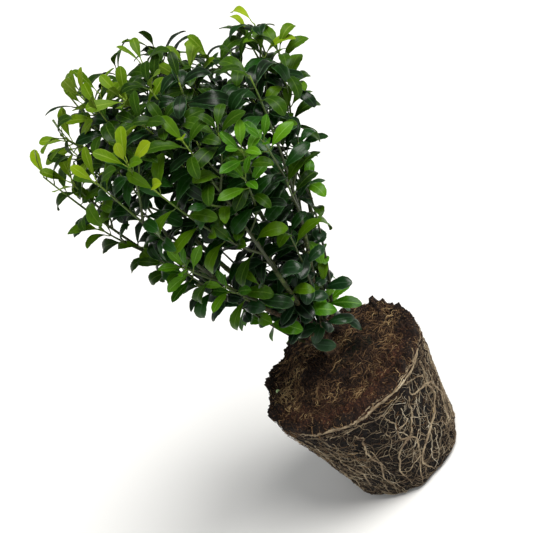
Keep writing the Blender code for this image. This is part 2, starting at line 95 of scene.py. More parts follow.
def makePiece(name, slot, replaced, points, faceSets, materials,
              slots=None, maps=None, values=None, sharp=None):
    # One mesh object from an array of points and arrays of faces of 3, 4 or more corners.
    # slots: a material number for each face; maps: UVs for each corner; values: numbers for each point.
    mesh = bpy.data.meshes.new(name)
    corners = np.concatenate([faces.ravel() for faces in faceSets]).astype(np.int32)
    sizes = np.concatenate([np.full(len(faces), faces.shape[1]) for faces in faceSets])
    mesh.vertices.add(len(points))
    mesh.vertices.foreach_set("co", np.asarray(points, np.float32).ravel())
    mesh.loops.add(len(corners))
    mesh.loops.foreach_set("vertex_index", corners)
    mesh.polygons.add(len(sizes))
    mesh.polygons.foreach_set("loop_start", np.concatenate([[0], np.cumsum(sizes)[:-1]]).astype(np.int32))
    for material in materials:
        mesh.materials.append(material)
    if slots is not None:
        mesh.polygons.foreach_set("material_index", np.asarray(slots, np.int32))
    mesh.polygons.foreach_set("use_smooth", np.ones(len(sizes), bool))
    mesh.update(calc_edges=True)
    for title, places in (maps or {}).items():
        mesh.uv_layers.new(name=title).data.foreach_set("uv", np.asarray(places, np.float32).ravel())
    for title, numbers in (values or {}).items():
        layer = mesh.attributes.new(title, "FLOAT", "POINT")
        layer.data.foreach_set("value", np.asarray(numbers, np.float32).ravel())
    if sharp is not None:
        ends = np.zeros(len(mesh.edges) * 2, np.int32)
        mesh.edges.foreach_get("vertices", ends)
        layer = mesh.attributes.new("sharp_edge", "BOOLEAN", "EDGE")
        layer.data.foreach_set("value", sharp[ends.reshape(-1, 2)].all(axis=1))
    mesh.validate()
    made = bpy.data.objects.new(name, mesh)
    bpy.context.scene.collection.objects.link(made)
    print(name, len(points), "points,", int((sizes - 2).sum()), "triangles")
    if slot is None:
        return
    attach(made, "root")
    if replaced:
        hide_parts(*replaced)


def joinShapes(shapes):
    # several (points, face arrays, point values) as one, each face number moved past the points before it
    points, faceSets, numbers, first = [], [], [], 0
    for places, faces, value in shapes:
        points.append(places)
        numbers.append(value)
        faceSets += [face + first for face in faces]
        first += len(places)
    return np.concatenate(points), faceSets, np.concatenate(numbers)


def unit(vectors):
    # each vector divided by its length
    return vectors / np.maximum(np.linalg.norm(vectors, axis=-1, keepdims=True), 1e-12)


def polar(radius, angle, height):
    # points at a radius, an angle and a height round the Z axis
    return np.stack(np.broadcast_arrays(radius * np.cos(angle), radius * np.sin(angle), height), axis=-1)


def tubes(paths, radii, sides, reference):
    # Closed tubes along many paths at once. Round each path point stands a ring square to the path:
    # centre + radius * (normal * cos(turn) + across * sin(turn)), with the normal taken from a reference.
    ahead = unit(np.gradient(paths, axis=1))
    normal = unit(reference - ahead * (reference * ahead).sum(-1, keepdims=True))
    across = np.cross(ahead, normal)
    turn = np.arange(sides) * fullTurn / sides
    rings = normal[:, :, None] * np.cos(turn)[:, None] + across[:, :, None] * np.sin(turn)[:, None]
    radii = np.broadcast_to(radii if np.ndim(radii) == 3 else radii[:, :, None], rings.shape[:3])
    points = paths[:, :, None] + rings * radii[..., None]
    index = np.arange(points.shape[0] * points.shape[1] * sides).reshape(points.shape[:3])
    after = np.roll(index, -1, axis=2)
    walls = np.stack([index[:, :-1], after[:, :-1], after[:, 1:], index[:, 1:]], -1).reshape(-1, 4)
    caps = np.concatenate([index[:, 0, ::-1], index[:, -1]])
    return points.reshape(-1, 3), [walls, caps]


def gridFaces(rows, columns):
    # quads of a grid that closes on itself sideways, and a face of many corners at each end
    index = np.arange(rows * columns).reshape(rows, columns)
    after = np.roll(index, -1, axis=1)
    walls = np.stack([index[:-1], after[:-1], after[1:], index[1:]], -1).reshape(-1, 4)
    return [walls, index[:1, ::-1], index[-1:]]


def noise(points, size, seed):
    # Smooth random field from -1 to 1: a random number at each corner of cells `size` wide,
    # blended by the smoothstep of the place within the cell.
    place = points / size + seed * 17.31
    cell = np.floor(place).astype(np.int64)
    part = place - cell
    part = part * part * (3 - 2 * part)
    total = np.zeros(points.shape[:-1])
    for corner in np.ndindex(2, 2, 2):
        at = cell + corner
        mixed = (at[..., 0] * 73856093) ^ (at[..., 1] * 19349663) ^ (at[..., 2] * 83492791)
        mixed = ((mixed ^ (mixed >> 13)) * 1274126177) & 0x7FFFFFFF
        share = np.where(np.array(corner) == 1, part, 1 - part).prod(axis=-1)
        total += share * (((mixed ^ (mixed >> 16)) % 65536) / 32767.5 - 1)
    return total


# Root ball: the formula of its solid, with the peat's relief on it

ball = {
    "height": 0.115,
    "baseRadius": 0.052,
    "topRadius": 0.0725,
    "sideLump": 0.0021,
    "soilLump": 0.0015,
    "moundHeight": 0.013,
    "moundSpread": 0.030,
    "seatRadius": 0.0115,
    "edgeRound": 0.003,
    "edgeHeights": (0.006, 0.007),  # over which the lower and the upper edge are rounded
    "columns": 330,
    "sideRings": 100,
    "topRings": 84,
    "underRings": 20,
    "clods": ((0.0110, 0.0014), (0.0048, 0.0014), (0.0021, 0.0010)),  # size and height of lumps
    "sideRelief": 0.5,
    "soilFrom": (0.1135, 0.002),  # the relief grows to its whole height from here, over this rise
    "rimFrom": 0.100,  # the side follows the soil's waves above this
    "rimRadius": (0.069, 0.009),  # middle and half width of the rough rim
    "rimRoughness": 1.5,
    "trunkRadius": 0.010,  # beside the trunk the peat is smoother and a little raised
    "trunkRaise": 0.0004,
    "flatFoot": 0.004,  # the relief fades below this height
    "footLump": 0.0006,
}


def ballSideRadius(angle, height):
    # straight taper plus three waves round the side, less the rounding of both edges
    share = np.clip(height / ball["height"], 0, 1)
    waves = (
        np.sin(3 * angle + 2.1 * share + 0.4)
        + 0.7 * np.sin(7 * angle - 5.3 * share + 1.9)
        + 0.5 * np.sin(13 * angle + 8.7 * share + 4.2)
    ) / 2.2
    low = np.clip(1 - height / ball["edgeHeights"][0], 0, 1)
    high = np.clip(1 - (ball["height"] - height) / ball["edgeHeights"][1], 0, 1)
    radius = ball["baseRadius"] + (ball["topRadius"] - ball["baseRadius"]) * share
    return radius + ball["sideLump"] * waves - ball["edgeRound"] * (low ** 2 + high ** 2)


def soilHeight(angle, share):
    # a mound with a flat middle, falling by a bell curve, plus two waves round it outside the middle
    fall = np.clip(share * ball["topRadius"] - ball["seatRadius"], 0, None) / ball["moundSpread"]
    waves = (np.sin(4 * angle + 6 * share + 1.1) + 0.8 * np.sin(9 * angle - 11 * share + 2.6)) / 1.8
    lumps = ball["soilLump"] * waves * np.clip(fall * 2.5, 0, 1)
    return ball["height"] + ball["moundHeight"] * np.exp(-fall ** 2) + lumps


def soilRadius(angle, share):
    # from the middle out to the side's own waved outline
    rim = ballSideRadius(angle, ball["height"])
    return share * (ball["topRadius"] + (rim - ball["topRadius"]) * share)


def clods(points):
    # Peat relief: three sizes of lump added up, their crests sharpened by 1 - 2|noise|, half as high
    # on the side, which the pot pressed flat.
    total = np.zeros(points.shape[:-1])
    for k, (size, height) in enumerate(ball["clods"]):
        total += height * (1 - 2 * np.abs(noise(points, size, 11 + k)))
    start, rise = ball["soilFrom"]
    onTop = np.clip((points[..., 2] - start) / rise, 0, 1)
    return total * (ball["sideRelief"] + (1 - ball["sideRelief"]) * onTop)


def ballGrid():
    # Rings from the underside's middle, out to its edge, up the side and in over the soil to the middle.
    # Each point is then moved along the surface's normal by the peat's relief.
    angle = np.linspace(0, fullTurn, ball["columns"], endpoint=False)[None, :]
    outward = np.linspace(0.0, 1.0, ball["underRings"], endpoint=False)[:, None] ** 0.8
    underRadius = ballSideRadius(angle, 0.0) * np.maximum(outward, 0.002)
    sideHeight = ball["height"] * np.linspace(0, 1, ball["sideRings"])[:, None] + 0 * angle
    sideRadius = ballSideRadius(angle, sideHeight)
    rimShare = np.clip((sideHeight - ball["rimFrom"]) / (ball["height"] - ball["rimFrom"]), 0, 1)
    sideHeight = sideHeight + (soilHeight(angle, 1.0) - ball["height"]) * rimShare
    inward = np.maximum(np.linspace(1, 0, ball["topRings"] + 1)[1:, None] ** 0.9, 0.002)
    radius = np.concatenate([underRadius, sideRadius, soilRadius(angle, inward)])
    height = np.concatenate([np.zeros_like(underRadius), sideHeight, soilHeight(angle, inward)])
    points = polar(radius, angle, height)
    sideways = np.roll(points, -1, axis=1) - np.roll(points, 1, axis=1)
    normal = unit(np.cross(sideways, np.gradient(points, axis=0)))
    rim, width = ball["rimRadius"]
    nearRim = np.exp(-((radius - rim) / width) ** 2) * np.clip(1.5 * normal[..., 2], 0, 1)
    nearTrunk = np.exp(-(radius / ball["trunkRadius"]) ** 2) * (height > ball["rimFrom"])
    push = clods(points) * (1 + ball["rimRoughness"] * nearRim)
    push = push * (1 - 0.4 * nearTrunk) + ball["trunkRaise"] * nearTrunk
    push *= np.clip(height / ball["flatFoot"], 0, 1)
    points = points + normal * push[..., None]
    foot = points[:ball["underRings"]]
    foot[..., 2] += ball["footLump"] * np.abs(noise(foot, 0.006, 5))
    points[..., 2] = np.maximum(points[..., 2], 0.0)
    return points


# colours by the fine noise of bare peat, of its rusty zone and of its moss
peatColours = {
    "bare": [(0.36, "#030201"), (0.49, "#0e0704"), (0.57, "#2b1a10"), (0.68, "#755a3d")],
    "rust": [(0.34, "#0a0402"), (0.48, "#25120a"), (0.60, "#4a2b1a"), (0.74, "#80603f")],
    "moss": [(0.30, "#050602"), (0.50, "#10140a"), (0.64, "#242b14"), (0.78, "#4a5230")],
}


def peatMaterial():
    # Sphagnum peat, damp and fibrous: near black in its hollows, brown on dry fibres, with painted shade
    # that darkens the side below the rim, a rusty zone near the front rim and a dark green film of moss
    # beside the trunk.
    made, tree, sockets = newMaterial("dampPeat", {"Roughness": 0.93, "Specular IOR Level": 0.25})
    place = addNode(tree, "TexCoord", {}, output="Object")
    fine = addNode(tree, "TexNoise",
                   {"Vector": place, "Scale": grain(1.4286), "Detail": 6.0, "Roughness": 0.7})
    broad = addNode(tree, "TexNoise", {"Vector": place, "Scale": grain(13.333), "Detail": 4.0})
    drawn = addNode(tree, "Mapping",
                    {"Vector": place, "Scale": (1.0, 0.35, 0.6), "Rotation": (0.3, 0.5, 0.9)})
    fibres = addNode(tree, "TexVoronoi", {"Vector": drawn, "Scale": grain(2.381), "Randomness": 1.0},
                     {"feature": "DISTANCE_TO_EDGE"})
    colour = addNode(tree, "ValToRGB", {"Fac": fine, "stops": peatColours["bare"]})
    for stain in ("rust", "moss"):
        share = addNode(tree, "Attribute", {}, {"attribute_name": stain}, "Fac")
        tone = addNode(tree, "ValToRGB", {"Fac": fine, "stops": peatColours[stain]})
        colour = addNode(tree, "Mix", {0: share, 6: colour, 7: tone}, {"data_type": "RGBA"}, 2)
    patchesAndSideShade = addNode(tree, "MapRange", {"Value": broad, "From Min": 0.3, "From Max": 0.7,
                                       "To Min": 0.55, "To Max": 1.25})
    # painted shade: below the rim the side's colour is darkened down to 0.28 of the top's
    height = addNode(tree, "SeparateXYZ", {"Vector": place}, output="Z")
    sideShade = addNode(tree, "MapRange", {"Value": height, "From Min": 0.100, "From Max": 0.111,
                                     "To Min": 0.28, "To Max": 1.0})
    # the broad patches of lighter and darker peat, times the painted shade of the side
    patchesAndSideShade = addNode(tree, "Math", {0: patchesAndSideShade, 1: sideShade}, {"operation": "MULTIPLY"})
    darkened = {"data_type": "RGBA", "blend_type": "MULTIPLY"}
    colour = addNode(tree, "Mix", {0: 1.0, 6: colour, 7: patchesAndSideShade}, darkened, 2)
    tree.links.new(colour, sockets["Base Color"])
    relief = addNode(tree, "Bump", {"Height": fine, "Strength": 0.8, "Distance": 0.0012})
    relief = addNode(tree, "Bump", {"Height": fibres, "Strength": 0.5, "Distance": 0.0006, "Normal": relief})
    tree.links.new(relief, sockets["Normal"])
    return made


stains = {
    "rustBand": (0.058, 0.010),  # middle and half width, from the axis
    "rustFrom": (-178, 25),  # azimuth where it starts, and over how many degrees
    "rustTo": (-12, 30),
    "mossAt": (0.014, -0.008),
    "mossRadius": 0.015,
}


def stainShares(points):
    # Rust: a bell-shaped band round the front, fading at both ends and broken up by noise. Moss: a
    # patch that thins with the distance from its middle, with a broken edge.
    x, y, z = np.moveaxis(points, -1, 0)
    angle = np.degrees(np.arctan2(y, x))
    middle, width = stains["rustBand"]
    band = np.exp(-((np.hypot(x, y) - middle) / width) ** 2) * (z > 0.095)
    start, end = stains["rustFrom"], stains["rustTo"]
    front = np.clip((angle - start[0]) / start[1], 0, 1) * np.clip((end[0] - angle) / end[1], 0, 1)
    rust = np.clip(band * front * 1.5 + 0.7 * noise(points, 0.009, 3) * front, 0, 1) * (z > 0.085)
    away = np.hypot(x - stains["mossAt"][0], y - stains["mossAt"][1]) / stains["mossRadius"]
    moss = np.clip(1.5 - away + 0.8 * noise(points, 0.005, 8), 0, 1) * (z > 0.112)
    return {"rust": rust, "moss": moss}


def makeBall():
    # the grid as one closed mesh, stained by the shares of rust and moss
    grid = ballGrid()
    points = grid.reshape(-1, 3)
    makePiece("peatBall", "soil", ["root_ball"], points, gridFaces(*grid.shape[:2]), [peat],
              values=stainShares(points))


peat = peatMaterial()
makeBall()

# Crumbs of peat: small lumps that break the rim's line and lie on the soil

crumbs = {
    "count": 3400,
    "radius": (0.0005, 0.0019),
    "rimShare": 0.42,  # of the crumbs lie along the rim
    "sunk": 0.6,  # share of the relief that lifts them
    "bead": (-0.056, 0.019),
    "beadRadius": 0.0018,
    "beadLift": 0.0012,
    "seed": 21,
}


def surfacePoints(angle, level):
    # level 0 to 1 climbs the side, 1 to 2 goes in over the soil to the middle
    onTop = level > 1
    share = np.clip(2 - level, 0.02, 1)
    height = np.where(onTop, soilHeight(angle, share), ball["height"] * level)
    return polar(np.where(onTop, soilRadius(angle, share), ballSideRadius(angle, height)), angle, height)


def sideNormals(angle):
    # outward and a little down, because the ball narrows downwards
    return unit(polar(1.0, angle, -0.18))


def surfaceNormals(angle, level):
    # upward on the soil, outward on the side
    return np.where((level > 1)[..., None], unit(polar(0.2, angle, 1.0)), sideNormals(angle))


def makeCrumbs():
    # An icosahedron for each crumb, each corner pushed in or out by chance and the whole squashed a little.
    chance = np.random.default_rng(crumbs["seed"])
    n = crumbs["count"]
    ratio = (1 + math.sqrt(5)) / 2
    corners = np.array([(-1, ratio, 0), (1, ratio, 0), (-1, -ratio, 0), (1, -ratio, 0),
                        (0, -1, ratio), (0, 1, ratio), (0, -1, -ratio), (0, 1, -ratio),
                        (ratio, 0, -1), (ratio, 0, 1), (-ratio, 0, -1), (-ratio, 0, 1)]) / 1.9
    faces = np.array([(0, 11, 5), (0, 5, 1), (0, 1, 7), (0, 7, 10), (0, 10, 11), (1, 5, 9), (5, 11, 4),
                      (11, 10, 2), (10, 7, 6), (7, 1, 8), (3, 9, 4), (3, 4, 2), (3, 2, 6), (3, 6, 8),
                      (3, 8, 9), (4, 9, 5), (2, 4, 11), (6, 2, 10), (8, 6, 7), (9, 8, 1)])
    angle = chance.uniform(0, fullTurn, n)
    onRim = chance.uniform(0, 1, n) < crumbs["rimShare"]
    level = np.where(onRim, chance.normal(1.0, 0.06, n), chance.uniform(0.05, 1.98, n))
    centre = surfacePoints(angle, level)
    centre = centre + surfaceNormals(angle, level) * (clods(centre) * crumbs["sunk"])[:, None]
    small, large = crumbs["radius"]
    radius = small + (large - small) * chance.uniform(0, 1, n) ** 2.2
    squash = chance.uniform(0.55, 1.25, (n, 1, 3))
    shape = corners[None] * squash * chance.uniform(0.75, 1.2, (n, 12, 1))
    points = (centre[:, None] + shape * radius[:, None, None]).reshape(-1, 3)
    points[:, 2] = np.maximum(points[:, 2], 0.0004)
    every = (faces[None] + 12 * np.arange(n)[:, None, None]).reshape(-1, 3)
    makePiece("peatCrumbs", "soil", None, points, [every], [peat], values=stainShares(points))


def makeBead():
    # one pale green granule of slow feed, a sphere of rings r sin(a) at height -r cos(a)
    fromPole = np.linspace(0.02, np.pi - 0.02, 17)[:, None]
    around = np.linspace(0, fullTurn, 24, endpoint=False)[None]
    x, y = crumbs["bead"]
    radius = crumbs["beadRadius"]
    soil = float(soilHeight(math.atan2(y, x), math.hypot(x, y) / ball["topRadius"]))
    height = soil + radius + crumbs["beadLift"]
    points = polar(radius * np.sin(fromPole), around, height - radius * np.cos(fromPole)) + (x, y, 0.0)
    granule, tree, sockets = newMaterial("feedGranule", {"Roughness": 0.35, "Specular IOR Level": 0.4})
    place = addNode(tree, "TexCoord", {}, output="Object")
    cloud = addNode(tree, "TexNoise", {"Vector": place, "Scale": grain(1.111), "Detail": 3.0})
    colour = addNode(tree, "ValToRGB", {"Fac": cloud, "stops": [(0.3, "#86a860"), (0.7, "#c4dba4")]})
    tree.links.new(colour, sockets["Base Color"])
    makePiece("feedGranule", "soil", None, points.reshape(-1, 3), gridFaces(*points.shape[:2]), [granule])


makeCrumbs()
makeBead()
print("peat done")

# Fibres in the peat: thin dry strands that lie on the soil in all directions

fibres = {
    "topCount": 3700,
    "sideCount": 500,
    "steps": 6,
    "length": (0.004, 0.013),
    "radius": (0.00020, 0.00046),
    "lift": (0.0002, 0.0012),
    "arch": 0.0016,
    "wander": 0.42,
    "tanPatch": (-0.051, 0.009, 0.013),  # x, y and radius of a patch of paler fibres by the bead
    "colours": [(0.12, "#140a05"), (0.42, "#3f2a1a"), (0.74, "#7d6040"), (1.0, "#b59c6f")],
    "seed": 31,
}


def surfaceWalk(chance, angle, level, heading, length, steps, wander, lift):
    # Paths over the ball's surface: the heading drifts by a running sum of chance turns, and each
    # step goes its cosine inwards (or up) and its sine round the ball.
    turns = np.cumsum(chance.normal(0, wander, (len(angle), steps)), axis=1) + heading[:, None]
    stride = (length / steps)[:, None]
    around = np.cumsum(np.sin(turns) * stride, axis=1) - np.sin(turns[:, :1]) * stride
    inward = np.cumsum(np.cos(turns) * stride, axis=1) - np.cos(turns[:, :1]) * stride
    reach = np.where(level > 1, ball["topRadius"], ball["height"])[:, None]
    levels = np.clip(level[:, None] + inward / reach, 0.015, 1.97)
    radius = np.hypot(*np.moveaxis(surfacePoints(angle, level)[..., :2], -1, 0))[:, None]
    angles = angle[:, None] + around / np.maximum(radius, 0.008)
    points = surfacePoints(angles, levels)
    normals = surfaceNormals(angles, levels)
    raised = 0.75 * clods(points) * np.clip(points[..., 2] / ball["flatFoot"], 0, 1) + lift
    return points + normals * raised[..., None], normals


def strandMaterial(name, stops, roughness):
    # Dry plant fibre: straw to brown along its length, darker where it is stained by the peat.
    made, tree, sockets = newMaterial(name, {"Roughness": roughness, "Specular IOR Level": 0.3})
    place = addNode(tree, "TexCoord", {}, output="Object")
    stain = addNode(tree, "TexNoise",
                    {"Vector": place, "Scale": grain(6.25), "Detail": 4.0, "Roughness": 0.65})
    tone = addNode(tree, "Attribute", {}, {"attribute_name": "tone"}, "Fac")
    both = addNode(tree, "Math", {0: stain, 1: 0.9, 2: tone}, {"operation": "MULTIPLY_ADD"})
    tree.links.new(addNode(tree, "ValToRGB", {"Fac": both, "stops": stops}), sockets["Base Color"])
    fine = addNode(tree, "TexNoise", {"Vector": place, "Scale": grain(0.6667), "Detail": 2.0})
    relief = addNode(tree, "Bump", {"Height": fine, "Strength": 0.35, "Distance": 0.0003})
    tree.links.new(relief, sockets["Normal"])
    return made


def makeFibres():
    # walks over the soil, each arched off it like a bow and thinned towards its end
    chance = np.random.default_rng(fibres["seed"])
    top, side, steps = fibres["topCount"], fibres["sideCount"], fibres["steps"]
    n = top + side
    angle = chance.uniform(0, fullTurn, n)
    level = np.concatenate([2 - chance.uniform(0, 1, top) ** 0.55, chance.uniform(0.45, 1.0, side)])
    length = chance.uniform(*fibres["length"], n)
    heading = chance.uniform(0, fullTurn, n)
    lift = chance.uniform(*fibres["lift"], n)[:, None]
    arch = np.sin(np.linspace(0, np.pi, steps))[None] * chance.uniform(0, fibres["arch"], n)[:, None]
    paths, normals = surfaceWalk(chance, angle, level, heading, length, steps, fibres["wander"], lift + arch)
    small, large = fibres["radius"]
    taper = 1 - 0.75 * np.linspace(0, 1, steps)[None] ** 3
    radii = (small + (large - small) * chance.uniform(0, 1, n) ** 2)[:, None] * taper
    points, faces = tubes(paths, radii, 3, normals)
    x, y, radius = fibres["tanPatch"]
    patch = 0.60 * np.exp(-((paths[:, 0, 0] - x) ** 2 + (paths[:, 0, 1] - y) ** 2) / radius ** 2)
    tone = chance.uniform(-0.35, 0.30, n) + 0.40 * noise(paths[:, 0], 0.013, 33) + patch
    makePiece("peatFibres", "soil", None, points, faces, [straw], values={"tone": np.repeat(tone, steps * 3)})


straw = strandMaterial("dryPeatFibre", fibres["colours"], 0.8)
makeFibres()
print("fibres done")

# Roots that were pressed against the pot: a net over the ball's side

roots = {
    "seed": 41,
    "colours": [(0.12, "#2c2219"), (0.42, "#6a5945"), (0.70, "#99896e"), (1.0, "#d2c9b4")],
    "paleSpot": (290, 16, 0.070, 0.025),  # azimuth, its spread, height and its spread of paler roots
    # The net's three kinds. Azimuth in degrees as (middle, spread), or None for all round; the height
    # falls from the top by a power of chance; heading from straight down as (middle, spread).
    "middle": {
        "count": 400, "radius": 0.00040, "azimuth": None, "top": 0.111, "fall": 0.105, "power": 0.9,
        "heading": (0, 0.70), "length": (0.018, 0.055), "steps": 18, "sides": 4, "wander": 0.26,
        "lift": 0.0006,
    },
    "mat": {
        "count": 210, "radius": 0.00034, "azimuth": (-14, 11), "top": 0.112, "fall": 0.085, "power": 1.0,
        "heading": (0.05, 0.22), "length": (0.018, 0.045), "steps": 14, "sides": 4, "wander": 0.10,
        "lift": 0.0007,
    },
    "fine": {
        "count": 1500, "radius": 0.00019, "azimuth": None, "top": 0.112, "fall": 0.106, "power": 0.9,
        "heading": (0, 1.0), "length": (0.008, 0.026), "steps": 11, "sides": 3, "wander": 0.36,
        "lift": 0.0010,
    },
    "under": {
        "count": 200, "radius": 0.00028, "length": (0.012, 0.034), "steps": 12, "sides": 4, "wander": 0.3,
        "reach": 0.0495,
    },
}


def rootLine(chance, corners, steps):
    # A smooth line through (azimuth in degrees, height in mm) corners: straight between them on the
    # unrolled side, with a small chance waver.
    given = np.array(corners, float)
    place = np.linspace(0, len(given) - 1, steps)
    angle = np.radians(np.interp(place, range(len(given)), given[:, 0]))
    height = np.interp(place, range(len(given)), given[:, 1]) / 1000
    waver = np.cumsum(chance.normal(0, 1, (2, steps)), axis=1)
    waver -= np.linspace(0, 1, steps) * waver[:, -1:]
    return angle + 0.006 * waver[0], np.clip(height + 0.0004 * waver[1], 0.003, 0.117)


def onSide(angle, height, lift):
    # points on the ball's side, raised from it by the lift
    return polar(ballSideRadius(angle, height) + lift, angle, height)


rimLines = (
    # the circling root and the strands that run with it: (azimuth, height mm) corners and radius mm
    ([(-160, 110.8), (-142, 110.0), (-128, 111.2), (-110, 110.6), (-97, 109.8), (-76, 110.6), (-59, 109.8),
      (-33, 108.0), (-12, 107.4), (12, 106.8)], 0.95),
    ([(-152, 108), (-134, 109), (-112, 108), (-92, 107), (-72, 108), (-50, 106), (-30, 103),
      (-16, 98)], 0.60),
    ([(-142, 112), (-124, 113), (-104, 112), (-86, 113), (-66, 112), (-48, 111)], 0.60),
    ([(-120, 104), (-104, 106), (-90, 109), (-74, 110), (-60, 111), (-44, 110)], 0.50),
    ([(-148, 104), (-132, 101), (-116, 104), (-100, 101), (-84, 97), (-66, 99)], 0.50),
    ([(-70, 110), (-60, 104), (-50, 95), (-44, 84), (-46, 70)], 0.55),
)
thickLines = (
    # the thickest roots that run down the side, in the same way
    ([(-40, 100), (-45, 75), (-43, 57), (-52, 47), (-67, 38), (-81, 30), (-85, 20), (-80, 6)], 1.03),
    ([(-66, 92), (-71, 76), (-78, 62), (-91, 55), (-98, 41), (-106, 30), (-104, 10)], 0.95),
    ([(-112, 95), (-108, 88), (-114, 76), (-116, 66), (-113, 50), (-122, 30), (-118, 6)], 0.90),
    ([(-60, 100), (-63, 90), (-50, 80), (-38, 72), (-30, 52), (-34, 30), (-28, 6)], 0.82),
    ([(-140, 98), (-134, 80), (-140, 60), (-132, 42), (-138, 20), (-130, 5)], 0.77),
    ([(-90, 98), (-86, 80), (-90, 64), (-80, 50), (-84, 38), (-92, 18), (-96, 5)], 0.73),
    ([(-24, 98), (-20, 82), (-24, 60), (-16, 44), (-20, 22), (-14, 5)], 0.86),
    ([(-8, 100), (-4, 78), (-9, 54), (2, 34), (-3, 10)], 0.82),
    ([(12, 96), (18, 70), (10, 48), (16, 26), (9, 6)], 0.77),
    ([(36, 99), (30, 76), (38, 52), (33, 30), (41, 8)], 0.82),
    ([(60, 92), (66, 68), (58, 44), (64, 20), (58, 6)], 0.73),
    ([(84, 98), (79, 70), (88, 48), (82, 26), (90, 8)], 0.86),
    ([(110, 94), (117, 72), (108, 50), (114, 24), (106, 6)], 0.77),
    ([(134, 99), (128, 74), (138, 52), (131, 28), (138, 8)], 0.82),
    ([(158, 93), (166, 70), (156, 46), (163, 22), (155, 6)], 0.73),
    ([(182, 98), (176, 72), (186, 50), (179, 26), (187, 7)], 0.82),
    ([(204, 96), (212, 74), (202, 50), (210, 28), (203, 6)], 0.77),
)


def lineTubes(chance, lines, steps, sink):
    # each line as a tube that thins to its ends, half sunk in the peat, with small swellings
    paths, radii, normals = [], [], []
    thin = 1 - 0.6 * np.abs(np.linspace(-1, 1, steps)) ** 3
    for corners, radius in lines:
        angle, height = rootLine(chance, corners, steps)
        girth = radius / 1000 * thin * (1 + 0.12 * chance.normal(0, 1, steps).clip(-1.5, 1.5))
        relief = 0.8 * clods(onSide(angle, height, 0.0)) + girth * sink
        paths.append(onSide(angle, height, relief))
        radii.append(girth)
        normals.append(sideNormals(angle))
    return tubes(np.array(paths), np.array(radii), 7, np.array(normals))


def sideRun(chance, kind):
    # Many roots at once, each a walk on the unrolled side: the heading drifts by a running sum of
    # chance turns, and each step goes its sine round and its cosine down.
    count, steps = kind["count"], kind["steps"]
    if kind["azimuth"]:
        angle = np.radians(chance.normal(*kind["azimuth"], count))
    else:
        angle = chance.uniform(0, fullTurn, count)
    height = kind["top"] - kind["fall"] * chance.uniform(0, 1, count) ** kind["power"]
    heading = chance.normal(*kind["heading"], count)
    turns = heading[:, None] + np.cumsum(chance.normal(0, kind["wander"], (count, steps)), axis=1)
    stride = (chance.uniform(*kind["length"], count) / steps)[:, None]
    heights = np.clip(height[:, None] - np.cumsum(np.cos(turns) * stride, axis=1), 0.0022, 0.1125)
    angles = angle[:, None] + np.cumsum(np.sin(turns) * stride, axis=1) / 0.063
    taper = 1 - 0.7 * np.linspace(0, 1, steps) ** 2
    girth = kind["radius"] * chance.uniform(0.6, 1.35, count)[:, None] * taper
    relief = 0.85 * clods(onSide(angles, heights, 0.0)) + girth * 0.5
    relief = relief + kind["lift"] * chance.uniform(0, 1, (count, 1))
    points, faces = tubes(onSide(angles, heights, relief), girth, kind["sides"], sideNormals(angles))
    azimuth, wide, middle, tall = roots["paleSpot"]
    pale = 0.30 * np.exp(-((np.degrees(angle) % 360 - azimuth) / wide) ** 2 - ((height - middle) / tall) ** 2)
    return points, faces, np.repeat(chance.uniform(-0.34, 0.34, count) + pale, steps * kind["sides"])


def underRun(chance, kind):
    # roots that wander over the flat underside, each heading drifting by a running sum of chance turns
    count, steps = kind["count"], kind["steps"]
    heading = chance.uniform(0, fullTurn, (count, 1))
    turns = heading + np.cumsum(chance.normal(0, kind["wander"], (count, steps)), axis=1)
    stride = chance.uniform(*kind["length"], (count, 1)) / steps
    far = 0.049 * np.sqrt(chance.uniform(0, 1, (count, 1)))
    angle = chance.uniform(0, fullTurn, (count, 1))
    x = far * np.cos(angle) + np.cumsum(np.cos(turns) * stride, axis=1)
    y = far * np.sin(angle) + np.cumsum(np.sin(turns) * stride, axis=1)
    inside = np.minimum(1.0, kind["reach"] / np.maximum(np.hypot(x, y), 1e-6))
    taper = 1 - 0.6 * np.linspace(0, 1, steps) ** 2
    girth = kind["radius"] * chance.uniform(0.6, 1.3, (count, 1)) * taper
    paths = np.stack([x * inside, y * inside, 0.0004 + girth * 0.4], axis=-1)
    points, faces = tubes(paths, girth, kind["sides"], np.broadcast_to((0.0, 0.0, -1.0), paths.shape))
    points[:, 2] = np.maximum(points[:, 2], 0.0)
    return points, faces, np.repeat(chance.uniform(-0.2, 0.25, count), steps * kind["sides"])


def makeRoots():
    # the circling root, the thickest side roots, and the net of fine ones, each of its own tone
    chance = np.random.default_rng(roots["seed"])
    rim = lineTubes(chance, rimLines, 110, 0.60)
    tone = 0.14 + 0.1 * noise(rim[0], 0.012, 2)
    makePiece("circlingRoot", "root", ["rim_root"], *rim, [rootSkin], values={"tone": tone})
    thick = lineTubes(chance, thickLines, 70, 0.45)
    tone = 0.10 + 0.12 * noise(thick[0], 0.012, 4)
    nodes = [f"side_root_{k}" for k in range(1, 8)]
    makePiece("thickRoots", "root", nodes, *thick, [rootSkin], values={"tone": tone})
    net = [sideRun(chance, roots[kind]) for kind in ("middle", "mat", "fine")]
    points, faces, tone = joinShapes(net + [underRun(chance, roots["under"])])
    makePiece("rootNet", "root", None, points, faces, [rootSkin], values={"tone": tone})


rootSkin = strandMaterial("youngRoot", roots["colours"], 0.72)
makeRoots()
print("roots done")

# Crown: the limbs follow the rule of their solids, and finer shoots are carried on from them

